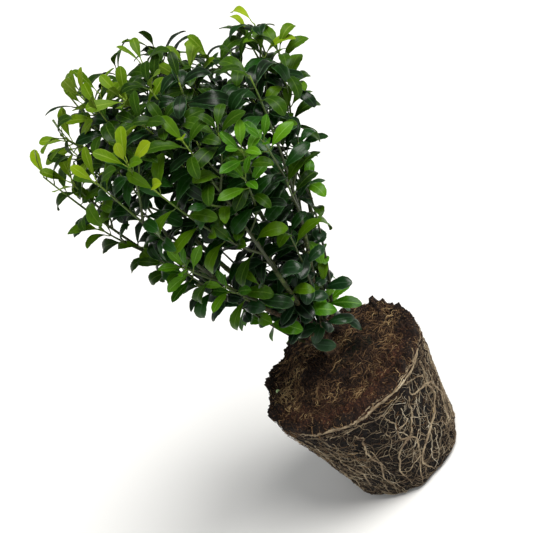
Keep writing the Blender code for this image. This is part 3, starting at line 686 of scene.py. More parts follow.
crown = {
    "foot": Vector((0.005, 0.0, 0.150)),
    "heights": (0.134, 0.165, 0.190, 0.250, 0.300, 0.350, 0.390, 0.415, 0.440, 0.468),
    "radii": (0.024, 0.032, 0.045, 0.066, 0.086, 0.104, 0.113, 0.106, 0.076, 0.032),
    "shifts": (0.010, 0.013, 0.006, 0.004, 0.011, 0.014, 0.017, 0.008, -0.008, -0.030),
    "slope": 0.30,  # the top falls towards the back
    "slopeFrom": (0.300, 0.100),  # from this height, over this rise
    "leafShare": 0.8,  # share of a furrow's radius that leaves keep out of
    "lowRoom": 0.078,
    "highRoom": 0.192,
    # clefts between the shoots at the outline, read from the photo under a millimetre grid: x and
    # z in mm where each crosses y = 0, and its radius
    "furrows": (
        (-8, 453, 9), (-14, 440, 5), (14, 442, 6), (55, 442, 8), (72, 428, 7),
        (86, 430, 9), (111, 408, 10), (140, 388, 10),
        (-26, 466, 6), (-43, 455, 12), (-33, 441, 6), (-65, 441, 10), (-92, 428, 8), (-93, 401, 7),
        (-93, 391, 5), (-71, 296, 5), (-35, 218, 5), (-30, 208, 5), (-21, 192, 6),
    ),
    # and notches at the right edge, where shoots end but leaves don't
    "notches": ((96, 311, 8), (75, 277, 9), (69, 248, 8), (57, 230, 8), (54, 216, 10)),
    # gaps among the leaves alone, which shoots may cross, read in the same way
    "gaps": (
        (90, 387, 7), (37, 400, 6), (102, 339, 5), (-49, 425, 6), (-70, 423, 5), (-41, 353, 7),
        (2, 364, 5), (-24, 335, 7), (-37, 313, 7), (-20, 259, 8), (-65, 341, 6), (-62, 327, 6), (3, 233, 5),
    ),
    "furrowsFrom": Vector((0.0, -0.894, 0.728)),  # they all run away from this point
}

trunk = {
    "foot": Vector((0.003, 0.0, 0.1283)),
    "height": 0.054,
    "lean": math.radians(3.0),
    "footRadius": 0.0088,
    "neckRadius": 0.0054,
    "topRadius": 0.0038,
    "flareHeight": 0.004,
    "rings": 110,
    "columns": 80,
    "fissure": 0.00055,  # depth of the bark's cracks
}

limb = {
    "forkHeight": 0.1375,
    "forkStep": 0.0025,
    "baseLean": math.radians(27.0),
    "mostBaseLean": math.radians(66.0),
    "tipLean": math.radians(9.0),
    "basePull": 0.22,
    "tipPull": 0.30,
    "radius": 0.0022,
    "endRadius": 0.0016,
    "leaderRadius": 0.0028,
    "lowBare": 0.27,
    "highBare": 0.46,
}

# name, azimuth and lean in degrees, share of the way to the crown's outline
limbRows = (
    ("low_left", 205.0, 26.0, 0.50),
    ("low_right", 342.0, 27.0, 0.52),
    ("low_back", 74.0, 26.0, 0.52),
    ("low_front", 252.0, 27.0, 0.50),
    ("low_front_right", 296.0, 26.0, 0.50),
    ("low_back_left", 119.0, 26.0, 0.52),
    ("right", 5.0, 22.5, 0.95),
    ("back_left", 140.0, 20.0, 0.93),
    ("front", 273.0, 19.5, 0.90),
    ("back_right", 50.0, 21.0, 0.93),
    ("left", 183.0, 19.5, 0.95),
    ("front_right", 318.0, 21.0, 0.92),
    ("back", 97.0, 20.0, 0.92),
    ("front_left", 228.0, 19.5, 0.93),
    ("top_right", 40.0, 8.5, 0.94),
    ("top_front", 282.0, 9.0, 0.92),
    ("top", 172.0, 7.5, 0.97),
)


def towards(azimuth, lean):
    # unit vector (sin l cos a, sin l sin a, cos l) for an azimuth a and a lean l from straight up
    flat = math.sin(lean)
    return Vector((flat * math.cos(azimuth), flat * math.sin(azimuth), math.cos(lean)))


def trunkAxis(height):
    # from the foot, moved along -X by the rise times the tangent of the lean
    rise = height - trunk["foot"].z
    return trunk["foot"] + Vector((-rise * math.tan(trunk["lean"]), 0.0, rise))


def insideCrown(point, spare=0.0):
    # within the outline's radius at the point's height, and above the soil
    start, rise = crown["slopeFrom"]
    slope = crown["slope"] * min(max((point[2] - start) / rise, 0.0), 1.0)
    height = point[2] + slope * max(point[1], 0.0)
    if not crown["heights"][0] - spare <= height <= crown["heights"][-1] + spare:
        return False
    shift = np.interp(height, crown["heights"], crown["shifts"])
    radius = np.interp(height, crown["heights"], crown["radii"])
    return math.hypot(point[0] - shift, point[1]) <= radius + spare


def inFurrow(point, rows, share=1.0):
    # the furrow's distance is that from its line, measured square to the line
    away = point - crown["furrowsFrom"]
    for x, z, radius in rows:
        line = (Vector((x / 1000, 0.0, z / 1000)) - crown["furrowsFrom"]).normalized()
        if (away - line * away.dot(line)).length < radius * share / 1000:
            return True
    return False


def inGap(point):
    # leaves reach a little way into the furrows, and leave the gaps open
    return inFurrow(point, crown["furrows"], crown["leafShare"]) or inFurrow(point, crown["gaps"])


def crownReach(azimuth, lean):
    # steps of 2 mm out along a ray, until it leaves the crown
    ray = towards(azimuth, lean)
    reach, furthest, step = 0.05, 0.4, 0.002
    while insideCrown(crown["foot"] + ray * reach) and reach < furthest:
        reach += step
    return reach


def makeLimb(order, name, azimuth, lean, share):
    # a cubic curve from the trunk's axis that leaves it flatter and ends steeper than the straight way
    azimuth, lean = math.radians(azimuth), math.radians(lean)
    low = name.startswith("low")
    fork = trunkAxis(limb["forkHeight"] + limb["forkStep"] * order)
    tip = crown["foot"] + towards(azimuth, lean) * crownReach(azimuth, lean) * share
    span = (tip - fork).length
    flatter = min(lean + limb["baseLean"], limb["mostBaseLean"])
    first = fork + towards(azimuth, flatter) * span * limb["basePull"]
    second = tip - towards(azimuth, max(lean - limb["tipLean"], 0.0)) * span * limb["tipPull"]
    return {
        "name": name,
        "low": low,
        "bare": limb["lowBare"] if low else limb["highBare"],
        "radius": limb["leaderRadius"] if name == "top" else limb["radius"],
        "room": crown["foot"] + towards(azimuth, lean) * (crown["lowRoom"] if low else crown["highRoom"]),
        "corners": (fork, first, second, tip),
    }


def limbPoint(one, share):
    # cubic curve a (1-s)^3 + 3 b (1-s)^2 s + 3 c (1-s) s^2 + d s^3
    a, b, c, d = one["corners"]
    left = 1.0 - share
    return a * left ** 3 + b * 3 * left ** 2 * share + c * 3 * left * share ** 2 + d * share ** 3


def limbAhead(one, share):
    # the curve's direction, from a point just before to one just after
    near = 0.01
    return (limbPoint(one, min(share + near, 1.0)) - limbPoint(one, max(share - near, 0.0))).normalized()


limbs = [makeLimb(order, *row) for order, row in enumerate(limbRows)]


bark = {
    "girth": 0.004,  # radius of the cylinder that the cracks are drawn on
    "stretch": 0.16,  # less than 1, so that they run up the stem
    "cells": (0.0013, 0.0007),  # of the broad and the fine cracks
    "flare": (5, 0.25),  # number and height of the ridges at the soil
    "knot": 0.00022,
    "sunk": 0.0025,  # the trunk starts this far below its foot
    "topRound": 0.07,  # share of the trunk over which its top closes
    "steps": 90,  # of each bough, and its sides
    "sides": 14,
    "square": 0.07,  # boughs are faintly four-angled
    "scarEvery": 0.0135,
    "scarShift": 0.003,  # from one bough to the next
    "scarAt": (0.005, 0.0009),  # place and half width of a leaf scar's ring
    "scarHeight": 0.00030,
    "crack": 0.00035,  # depth of the cracks of woody boughs
    "woodLength": 0.075,  # boughs turn green over about this length
}


def barkRelief(around, along, seed):
    # Cracks that run up the stem: noise on a cylinder drawn out lengthwise, its valleys sharpened.
    around, along = np.broadcast_arrays(around, along)
    place = polar(bark["girth"], around, along * bark["stretch"])
    broad, fine = bark["cells"]
    return np.abs(noise(place, broad, seed)) + 0.5 * np.abs(noise(place, fine, seed + 1)) - 0.6


def makeTrunk():
    # Rings up the leaning axis: neck radius tapering to the top, a flare of ridges at the soil that
    # falls as e^(-rise / height), and the bark's cracks; the last rings close in over the top.
    rise = np.linspace(-bark["sunk"], trunk["height"], trunk["rings"])[:, None]
    around = np.linspace(0, fullTurn, trunk["columns"], endpoint=False)[None]
    rise, around = np.broadcast_arrays(rise, around)
    share = rise / trunk["height"]
    shaft = trunk["neckRadius"] + (trunk["topRadius"] - trunk["neckRadius"]) * share
    flare = (trunk["footRadius"] - trunk["neckRadius"]) * np.exp(-rise / trunk["flareHeight"])
    ridges, height = bark["flare"]
    radius = shaft + flare * (1 + height * np.cos(ridges * around))
    radius = radius - trunk["fissure"] * barkRelief(around, rise, 61)
    radius = radius + bark["knot"] * np.cos(around - 9 * share) * np.sin(31 * share + 2 * around)
    radius = radius * np.sqrt(np.clip((1.0 - share) / bark["topRound"], 0.03, 1.0))
    points = polar(radius, around, rise) + trunk["foot"]
    points[..., 0] -= np.tan(trunk["lean"]) * rise
    makePiece("trunkBark", "bark", ["trunk"], points.reshape(-1, 3), gridFaces(*points.shape[:2]), [woodBark],
              values={"wood": np.ones(points.shape[:2])})


barkColours = {
    "brown": [(0.32, "#120a06"), (0.50, "#302115"), (0.68, "#6a5139")],
    "green": [(0.30, "#1a2209"), (0.52, "#2f3c12"), (0.72, "#56642a")],
    "specks": "#a08c5c",
}


def barkMaterial(name, roughness):
    # Euonymus bark: brown and finely cracked on the old wood, smooth olive green with pale corky
    # specks on the boughs, the change from one to the other gradual and patchy.
    made, tree, sockets = newMaterial(name, {"Roughness": roughness, "Specular IOR Level": 0.35})
    place = addNode(tree, "TexCoord", {}, output="Object")
    wood = addNode(tree, "Attribute", {}, {"attribute_name": "wood"}, "Fac")
    patch = addNode(tree, "TexNoise",
                    {"Vector": place, "Scale": grain(3.846), "Detail": 5.0, "Roughness": 0.6})
    brown = addNode(tree, "ValToRGB", {"Fac": patch, "stops": barkColours["brown"]})
    green = addNode(tree, "ValToRGB", {"Fac": patch, "stops": barkColours["green"]})
    share = addNode(tree, "Math",
                    {0: patch, 1: 0.7, 2: wood}, {"operation": "MULTIPLY_ADD", "use_clamp": True})
    share = addNode(tree, "MapRange", {"Value": share, "From Min": 0.45, "From Max": 0.95})
    colour = addNode(tree, "Mix", {0: share, 6: green, 7: brown}, {"data_type": "RGBA"}, 2)
    speck = addNode(tree, "TexVoronoi", {"Vector": place, "Scale": grain(2.0833)})
    speck = addNode(tree, "MapRange", {"Value": speck, "From Min": 0.16, "From Max": 0.08})
    pale = linear(barkColours["specks"])
    colour = addNode(tree, "Mix", {0: speck, 6: colour, 7: pale}, {"data_type": "RGBA"}, 2)
    tree.links.new(colour, sockets["Base Color"])
    fine = addNode(tree, "TexNoise", {"Vector": place, "Scale": grain(0.9091), "Detail": 3.0})
    relief = addNode(tree, "Bump", {"Height": fine, "Strength": 0.45, "Distance": 0.0004})
    tree.links.new(relief, sockets["Normal"])
    return made


def makeBoughs():
    # Each bough a tube on its limb's curve, its radius r (1 + 0.07 cos 4t), with a raised ring at each
    # old leaf scar and the bark's cracks where it is woody.
    steps, sides = bark["steps"], bark["sides"]
    shares = np.linspace(0, 1, steps)
    paths = np.array([[tuple(limbPoint(one, one["bare"] * share)) for share in shares] for one in limbs])
    length = np.linalg.norm(np.diff(paths, axis=1), axis=-1)
    along = np.concatenate([np.zeros((len(limbs), 1)), np.cumsum(length, axis=1)], axis=1)
    order = np.arange(len(limbs))[:, None]
    start = np.array([one["radius"] for one in limbs])[:, None]
    radius = start + (limb["endRadius"] - start) * shares
    place, width = bark["scarAt"]
    scar = np.exp(-(((along + bark["scarShift"] * order) % bark["scarEvery"] - place) / width) ** 2)
    wood = np.clip(1.15 - along / bark["woodLength"], 0, 1)
    turn = (np.arange(sides) * fullTurn / sides)[None, None]
    relief = barkRelief(turn + order[..., None], along[..., None], 71)
    rings = radius[..., None] * (1 + bark["square"] * np.cos(4 * turn)) + bark["scarHeight"] * scar[..., None]
    rings = rings - bark["crack"] * relief * (0.25 + wood[..., None])
    points, faces = tubes(paths, rings, sides, np.broadcast_to((0.3, 0.9, 0.1), paths.shape))
    nodes = ["bough_" + one["name"] for one in limbs]
    makePiece("boughBark", "green_bark", nodes, points, faces, [greenBark],
              values={"wood": np.repeat(wood, sides)})


woodBark = barkMaterial("crackedBark", 0.85)
greenBark = barkMaterial("oliveBark", 0.72)
makeTrunk()
makeBoughs()
print("trunk and boughs done")

# Shoots: the solids' side shoots by the same draws, then finer ones from them and from the boughs

shoot = {
    "stemRadius": 0.0016,
    "radius": 0.0012,
    "tipRadius": 0.0006,
    "angle": math.radians(36.0),
    "offset": 0.026,
    "fan": 0.20,
    "first": 0.03,
    "last": 0.63,
    "high": 6,
    "low": 4,
    "steps": 10,
    "seed": 7,
    "finerOnStem": 3,
    "finerOnShoot": 1,
    "finerOnBough": 4,
    "finerOnLowBough": 3,
    "finerRadius": 0.0009,
    "finerSteps": 7,
    "finerTilt": (38, 58),
    "leaderRadius": 0.0011,
    "leaderBulge": 0.12,  # share of its way by which a strong shoot first bows outwards
    "inside": 0.010,  # shoots end this far inside the outline at the least
    "overlap": 0.004,  # and this far into a neighbour's room at the most
    "finerLength": (0.018, 0.042),
    "shortfall": 0.014,  # the shoots that fall shortest end this far inside the outline
    # tips of the strong shoots that stand out of the crown, in mm
    "leaders": (
        (-28, -8, 442), (-5, -28, 430), (22, 2, 430), (-56, -4, 421), (-74, -8, 396), (46, 2, 405),
        (64, 4, 402), (81, 0, 388), (98, -4, 381), (109, -8, 376), (100, -6, 351), (89, -4, 331),
        (68, -14, 312), (60, -10, 278), (-80, -8, 352), (-64, -8, 318), (-50, -6, 294), (-39, -4, 254),
        (28, -18, 196),
    ),
    # tips of strong shoots whose leaves are fresh
    "freshLeaders": (
        (38, -98, 372), (54, -92, 364), (28, -94, 351), (-46, -64, 310), (-32, -45, 264), (-50, -36, 293),
        (26, -8, 178),
    ),
    "leaderLength": 0.046,
}


def curve(start, bend, end, steps):
    # quadratic curve from start to end, drawn towards the bend
    return [start * (1 - t) ** 2 + bend * 2 * (1 - t) * t + end * t ** 2 for t in np.linspace(0, 1, steps)]


def ownRoom(point, index):
    # nearer to the middle of its own limb's room than to any other's, or nearly so
    away = [(point - one["room"]).length for one in limbs]
    return away[index] <= min(away) + shoot["overlap"]


def mayGrow(point, index, spare):
    # inside the crown, in the limb's own room, and out of the furrows and notches
    if not insideCrown(point, -shoot["inside"] - spare) or not ownRoom(point, index):
        return False
    return not inFurrow(point, crown["furrows"]) and not inFurrow(point, crown["notches"])


def cutBack(path, index, spare):
    # the path up to its first point where a shoot may not grow
    kept = 0
    while kept < len(path) and mayGrow(path[kept], index, spare):
        kept += 1
    return path[:kept]


def sideways(ahead, turn):
    # square to the way ahead: across * cos(turn) + along * sin(turn)
    across = ahead.orthogonal().normalized()
    return across * math.cos(turn) + ahead.cross(across) * math.sin(turn)


def mainShoots(index, one):
    # the stem and its side shoots, turned by the golden angle, with the draws of the solids
    chance = random.Random(shoot["seed"] + index)
    shares = np.linspace(0, 1, 2 * shoot["steps"])
    stem = [limbPoint(one, one["bare"] + (1 - one["bare"]) * share) for share in shares]
    found = [{"path": stem, "radius": shoot["stemRadius"], "rank": 0}]
    uneven = random.Random(500 + index)
    count = shoot["low"] if one["low"] else shoot["high"]
    phase = chance.uniform(0.0, fullTurn)
    whole = (limbPoint(one, 1.0) - limbPoint(one, one["bare"])).length
    for k in range(count):
        share = shoot["first"] + (shoot["last"] - shoot["first"]) * k / (count - 1)
        along = one["bare"] + (1 - one["bare"]) * share
        start, ahead = limbPoint(one, along), limbAhead(one, along)
        out = sideways(ahead, phase + goldenAngle * k)
        offset = shoot["offset"] * chance.uniform(0.8, 1.2) * (1 - 0.3 * share)
        first = offset / math.sin(shoot["angle"])
        rest = max(whole * (1 - share) * chance.uniform(0.72, 0.92) - first, 0.016)
        bend = start + (ahead * math.cos(shoot["angle"]) + out * math.sin(shoot["angle"])) * first
        end = bend + (ahead + out * shoot["fan"]).normalized() * rest
        path = curve(start, bend, end, shoot["steps"])
        path = cutBack(path, index, shoot["shortfall"] * uneven.random() ** 2)
        if len(path) > 3:
            found.append({"path": path, "radius": shoot["radius"], "rank": 1})
    return found


def finerShoot(chance, start, ahead, turn, index, length):
    # a short shoot that leaves at 45 degrees or so and bends up towards the light
    out = sideways(ahead, turn)
    tilt = math.radians(chance.uniform(*shoot["finerTilt"]))
    bend = start + (ahead * math.cos(tilt) + out * math.sin(tilt)) * length * 0.5
    end = bend + (ahead + out * 0.35 + Vector((0, 0, 0.25))).normalized() * length * 0.6
    path = curve(start, bend, end, shoot["finerSteps"])
    path = cutBack(path, index, shoot["shortfall"] * chance.random() ** 2)
    return {"path": path, "radius": shoot["finerRadius"], "rank": 2} if len(path) > 3 else None


def growShoots(index, one):
    # the solids' shoots, then finer ones spaced along each of them and along the bare bough
    found = mainShoots(index, one)
    chance = random.Random(300 + index)
    low, high = shoot["finerLength"]
    finer = []
    for parent in found:
        count = shoot["finerOnStem"] if parent["rank"] == 0 else shoot["finerOnShoot"]
        path = parent["path"]
        for k in range(count):
            place = 0.10 + 0.55 * (k + chance.uniform(0, 0.8)) / count
            i = max(1, min(int(place * (len(path) - 1)), len(path) - 2))
            ahead = (path[i + 1] - path[i - 1]).normalized()
            turn = chance.uniform(0, fullTurn)
            finer.append(finerShoot(chance, path[i], ahead, turn, index, chance.uniform(low, high)))
    count = shoot["finerOnLowBough"] if one["low"] else shoot["finerOnBough"]
    for k in range(count):
        share = one["bare"] * (0.30 + 0.65 * (k + chance.uniform(0, 0.8)) / count)
        length = chance.uniform(low, high) * 1.25
        turn = chance.uniform(0, fullTurn)
        finer.append(finerShoot(chance, limbPoint(one, share), limbAhead(one, share), turn, index, length))
    return found + [short for short in finer if short]


def growLeader(found, place, fresh):
    # from the shoot that passes nearest to a point below the tip, up to the tip in a soft bend
    tip = Vector(place) / 1000
    below = tip + (crown["foot"] - tip).normalized() * shoot["leaderLength"]
    parent = min(found, key=lambda one: min((point - below).length for point in one["path"]))
    start = min(parent["path"], key=lambda point: (point - below).length)
    way = tip - start
    bend = start + way * 0.5 + Vector((way.x, way.y, 0.0)) * shoot["leaderBulge"]
    path = curve(start, bend, tip, shoot["steps"])
    return {"path": path, "radius": shoot["leaderRadius"], "rank": 1, "leader": True, "fresh": fresh}


shoots = [one for index, row in enumerate(limbs) for one in growShoots(index, row)]
shoots += [growLeader(shoots, place, False) for place in shoot["leaders"]]
shoots += [growLeader(shoots, place, True) for place in shoot["freshLeaders"]]
print(len(shoots), "shoots")

# Leaves: opposite pairs, each a quarter turn from the last, closer and more upright at the tips

leafRule = {
    "spacing": 0.0140,
    "petiole": 0.0036,
    "length": 0.0274,
    "tries": (0.0, 10.0, 20.0, 30.0),  # degrees by which a leaf that doesn't fit is folded up
    # blades' middles stay this far apart: on a strong shoot, inside the crown, near its outline
    "nearest": (0.0070, 0.0080, 0.0092),
    "bareBelow": (-2.0, -0.6, -0.2, -2.0),  # by rank: a shoot whose tone is lower carries no leaves
    "light": Vector((0.15, -0.80, 0.50)),
    "leaderProud": 0.012,  # a strong shoot's leaves may pass the outline by this
    "boughFrom": 0.22,  # share of a bare bough above which it carries leaves too
    "boughProud": 0.006,
    "boughEnd": (0.006, 6),  # its first pair's place from its end, and order in age
    "stemFoot": 0.010,  # a stem carries no leaves this near its foot
    "foot": 0.004,  # nor does any other shoot
    "rises": (62, 48, 36, 26, 20),  # degrees by which a leaf stands up along its shoot, from the tip down
    "scales": (0.78, 0.94, 1.0, 1.0),
    "closer": (0.28, 0.50, 0.85, 1.0),
    "mostRise": 84.0,
    "foldedSize": 0.005,  # a folded leaf is smaller by this share for each degree
    "deep": 0.024,  # inside the crown begins this far from its outline
    "dim": 0.030,  # and leaves this far in get painted shade: their tint is always drawn dark
    "freshBelow": 0.375,  # low finer shoots carry fresh leaves by this chance
    "freshShare": 0.20,
    "sunny": 0.012,  # leaves that end this near the outline have had more light
    "sunDraws": (2.1, 3.8, 4.9),  # of 6.28, above which a dark, an olive and an old one change
    "sunYoungFrom": 0.34,
    "midway": 0.20,  # share of its curl by which a blade's middle has dropped,
    "atTip": 0.44,  # and its tip
    "seed": 101,
}

# what each age of leaf looks like: size, shape and the way its blade bends
leafTraits = ("size", "width", "curl", "fold", "bulge", "roll", "wave", "base", "tip")
leafRows = {
    "leavesYoung": (0.98, 0.39, (5, 40), (0.10, 0.34), 0.03, 0.03, 0.05, 1.45, 0.58),
    "leavesOlive": (1.00, 0.38, (45, 115), (0.12, 0.38), 0.06, 0.08, 0.08, 1.20, 0.72),
    "leavesVivid": (0.76, 0.40, (15, 60), (0.12, 0.36), 0.06, 0.05, 0.07, 1.15, 0.74),
    "leavesDark": (1.02, 0.38, (50, 130), (0.08, 0.36), 0.12, 0.16, 0.11, 1.05, 0.70),
    "leavesOld": (1.00, 0.42, (35, 105), (0.00, 0.18), 0.12, 0.18, 0.10, 1.00, 0.60),
}
leafKinds = {kind: dict(zip(leafTraits, row)) for kind, row in leafRows.items()}

youth = {
    "least": 0.30,
    "high": 0.28,  # added towards the top,
    "left": 0.27,  # and there towards the left
    "highFrom": (0.303, 0.09),  # from this height, over this rise
    "leftFrom": (0.08, 0.10),
    "forward": 0.4,  # the front counts as this much higher
    "tone": 0.12,
    "order": 0.09,  # taken off for each pair below the tip
    "strong": 0.12,
    "inner": (0.026, 0.20),  # this far inside the outline, this is taken off
    "young": 0.68,
    "olive": (0.40, 0.07),
    "oldFrom": (0.285, 0.08),  # below this height, over this fall, dark leaves give way to old
}


def leafKind(point, order, spray, chance):
    # young at the outer tips, most of all high and left, vivid on fresh low sprays, olive below the
    # young ones, dark inside, old at the bottom
    start, rise = youth["highFrom"]
    level = min(max((point.z + youth["forward"] * point.y - start) / rise, 0.0), 1.0)
    start, width = youth["leftFrom"]
    left = min(max((start - point.x) / width, 0.0), 1.0) * level
    age = youth["least"] + youth["high"] * level + youth["left"] * left + youth["tone"] * spray["tone"]
    age -= youth["order"] * order
    depth, loss = youth["inner"]
    if spray["strong"]:
        age += youth["strong"]
    elif insideCrown(point, -depth):
        age -= loss
    if spray["fresh"] and order < 3:
        return "leavesVivid"
    if age > youth["young"]:
        return "leavesYoung"
    limit, unsure = youth["olive"]
    if age > limit + chance.uniform(-unsure, unsure):
        return "leavesOlive"
    start, fall = youth["oldFrom"]
    old = min(max((start - point.z) / fall, 0.0), 1.0)
    return "leavesOld" if chance.uniform(0, 1) < old else "leavesDark"


def sunKind(kind, tip, draw):
    # a leaf at the outline has had more light: many dark ones are olive there, many olive ones young
    # near the top, and some old ones vivid at the crown's foot
    if insideCrown(tip, -leafRule["sunny"]):
        return kind
    dark, olive, old = leafRule["sunDraws"]
    if kind == "leavesDark" and draw > dark:
        return "leavesOlive"
    if kind == "leavesOlive" and draw > olive and tip.z > leafRule["sunYoungFrom"]:
        return "leavesYoung"
    if kind == "leavesOld" and draw > old:
        return "leavesVivid"
    return kind


def leafOf(base, ahead, out, rise, scale, kind, spray, chance):
    # axis out of the shoot and up along it; the upper side faces the shoot's tip, turned a little up,
    # out and towards the light
    axis = (out * math.cos(rise) + ahead * math.sin(rise)).normalized()
    outward = Vector((base.x - crown["foot"].x, base.y, 0.0)).normalized()
    normal = ahead + Vector((0.0, 0.0, 0.35)) + outward * 0.35
    normal += leafRule["light"] * (0.6 if spray["strong"] else 0.25)
    normal = (normal - axis * normal.dot(axis)).normalized()
    look = leafKinds[kind]
    length = leafRule["length"] * look["size"] * scale
    curl = math.radians(chance.uniform(*look["curl"]))
    # painted shade: leaves deep inside the crown draw their tone from the darker part of the ramp only
    brightest = 0.4 if insideCrown(base, -leafRule["dim"]) else 1
    return {
        "base": base,
        "start": base + axis * leafRule["petiole"],
        "axis": axis,
        "normal": normal,
        "length": length,
        "width": length * look["width"] * chance.uniform(0.92, 1.08),
        "curl": curl,
        "fold": chance.uniform(*look["fold"]),
        "twist": chance.gauss(0, 0.20),
        "bend": chance.gauss(0, 0.05),
        "phase": chance.uniform(0, 6.28),
        "tint": chance.uniform(0, brightest),
        "kind": kind,
    }


def leafReach(leaf):
    # two points of the blade, its middle and its tip, on the arc that its curl gives it
    half, whole = leaf["curl"] * leafRule["midway"], leaf["curl"] * leafRule["atTip"]
    length, axis, normal = leaf["length"], leaf["axis"], leaf["normal"]
    middle = leaf["start"] + (axis * math.cos(half) - normal * math.sin(half)) * length * 0.5
    tip = leaf["start"] + (axis * math.cos(whole) - normal * math.sin(whole)) * length * 0.95
    return middle, tip


def leafThatFits(chance, spray, point, ahead, out, girth, lean, size, kind):
    # The same leaf is tried again, folded up further each time, until its middle and tip are inside the
    # crown, out of the gaps, and far enough from the middles of the leaves before it.
    state = chance.getstate()
    for extra in leafRule["tries"]:
        chance.setstate(state)
        rise = math.radians(min(lean + extra, leafRule["mostRise"]))
        scale = size * (1 - leafRule["foldedSize"] * extra)
        leaf = leafOf(point + out * girth * 0.6, ahead, out, rise, scale, kind, spray, chance)
        middle, tip = leafReach(leaf)
        if not (insideCrown(tip, spray["proud"]) and insideCrown(middle, spray["proud"])):
            continue
        if inGap(tip) or inGap(middle):
            continue
        inner = insideCrown(middle, -leafRule["deep"])
        least = leafRule["nearest"][0 if spray["strong"] else 1 if inner else 2]
        if middles and np.min(np.linalg.norm(np.array(middles) - middle, axis=1)) < least:
            continue
        leaf["kind"] = sunKind(kind, tip, leaf["phase"])
        return leaf, middle
    return None


def sprayOf(chance, one):
    # what the leaves of one shoot share: their tone, and whether they are fresh, strong or missing
    rank = one["rank"]
    low = rank == 2 and one["path"][-1].z < leafRule["freshBelow"]
    fresh = low and chance.random() < leafRule["freshShare"]
    spray = {
        "tone": chance.uniform(-1, 1),
        "fresh": fresh or one.get("fresh", False),
        "strong": "leader" in one,
        "proud": leafRule["boughProud"] if rank == 3 else 0.0,
    }
    if spray["strong"]:
        spray["proud"] = leafRule["leaderProud"]
    spray["bare"] = not spray["strong"] and spray["tone"] < leafRule["bareBelow"][rank]
    return spray


def growLeaves(one, chance):
    # pairs from the tip down, ever further apart, each turned a quarter from the last
    path, spray = one["path"], sprayOf(chance, one)
    steps = [(b - a).length for a, b in zip(path, path[1:])]
    ends = np.concatenate([[0.0], np.cumsum(steps)])
    total = ends[-1]
    foot = leafRule["foot"] if one["rank"] else leafRule["stemFoot"]
    back, order = leafRule["boughEnd"] if one["rank"] == 3 else (0.0, 0)
    one["lastLeaf"] = 0.0
    turn = chance.uniform(0, math.pi)
    while back < total - foot:
        place = total - back
        i = min(int(np.searchsorted(ends, place, side="right")) - 1, len(steps) - 1)
        point = path[i].lerp(path[i + 1], (place - ends[i]) / steps[i])
        ahead = (path[i + 1] - path[i]).normalized()
        girth = one["radius"] * (1 - 0.5 * place / total)
        for half in (0, 1):
            out = sideways(ahead, turn + math.pi * half)
            kind = leafKind(point, order, spray, chance)
            size = leafRule["scales"][min(order, 3)] * chance.uniform(0.88, 1.12)
            lean = leafRule["rises"][min(order, 4)] + chance.uniform(-9, 9)
            fitting = leafThatFits(chance, spray, point, ahead, out, girth, lean, size, kind)
            if fitting and not spray["bare"]:
                leaves.append(fitting[0])
                middles.append(tuple(fitting[1]))
                one["lastLeaf"] = max(one["lastLeaf"], place)
        back += leafRule["spacing"] * leafRule["closer"][min(order, 3)] * chance.uniform(0.9, 1.1)
        turn += math.pi / 2 + chance.uniform(-0.2, 0.2)
        order += 1


leaves, middles = [], []
leafChance = random.Random(leafRule["seed"])
for one in sorted(shoots, key=lambda one: "leader" not in one):
    growLeaves(one, leafChance)
for one in limbs:
    bare = [limbPoint(one, one["bare"] * t) for t in np.linspace(leafRule["boughFrom"], 1, 12)]
    growLeaves({"path": bare, "radius": one["radius"], "rank": 3}, leafChance)
print(len(leaves), "leaves", {kind: sum(leaf["kind"] == kind for leaf in leaves) for kind in leafKinds})

blade = {
    "rows": 12,
    "columns": (-1.0, -0.5, 0.0, 0.5, 1.0),
    "thickness": 0.00040,
    "teeth": 0.030,
    "toothed": (0.25, 0.97),  # share of the length where the margin has teeth
    "least": 0.075,  # share of the width that the blade keeps at its ends
    "waves": 13,
    "forms": ("start", "axis", "normal", "length", "width", "curl", "fold", "twist", "bend", "phase"),
}


def stacked(rows, key):
    # one value of every leaf as an array
    return np.array([tuple(row[key]) if isinstance(row[key], Vector) else row[key] for row in rows], float)


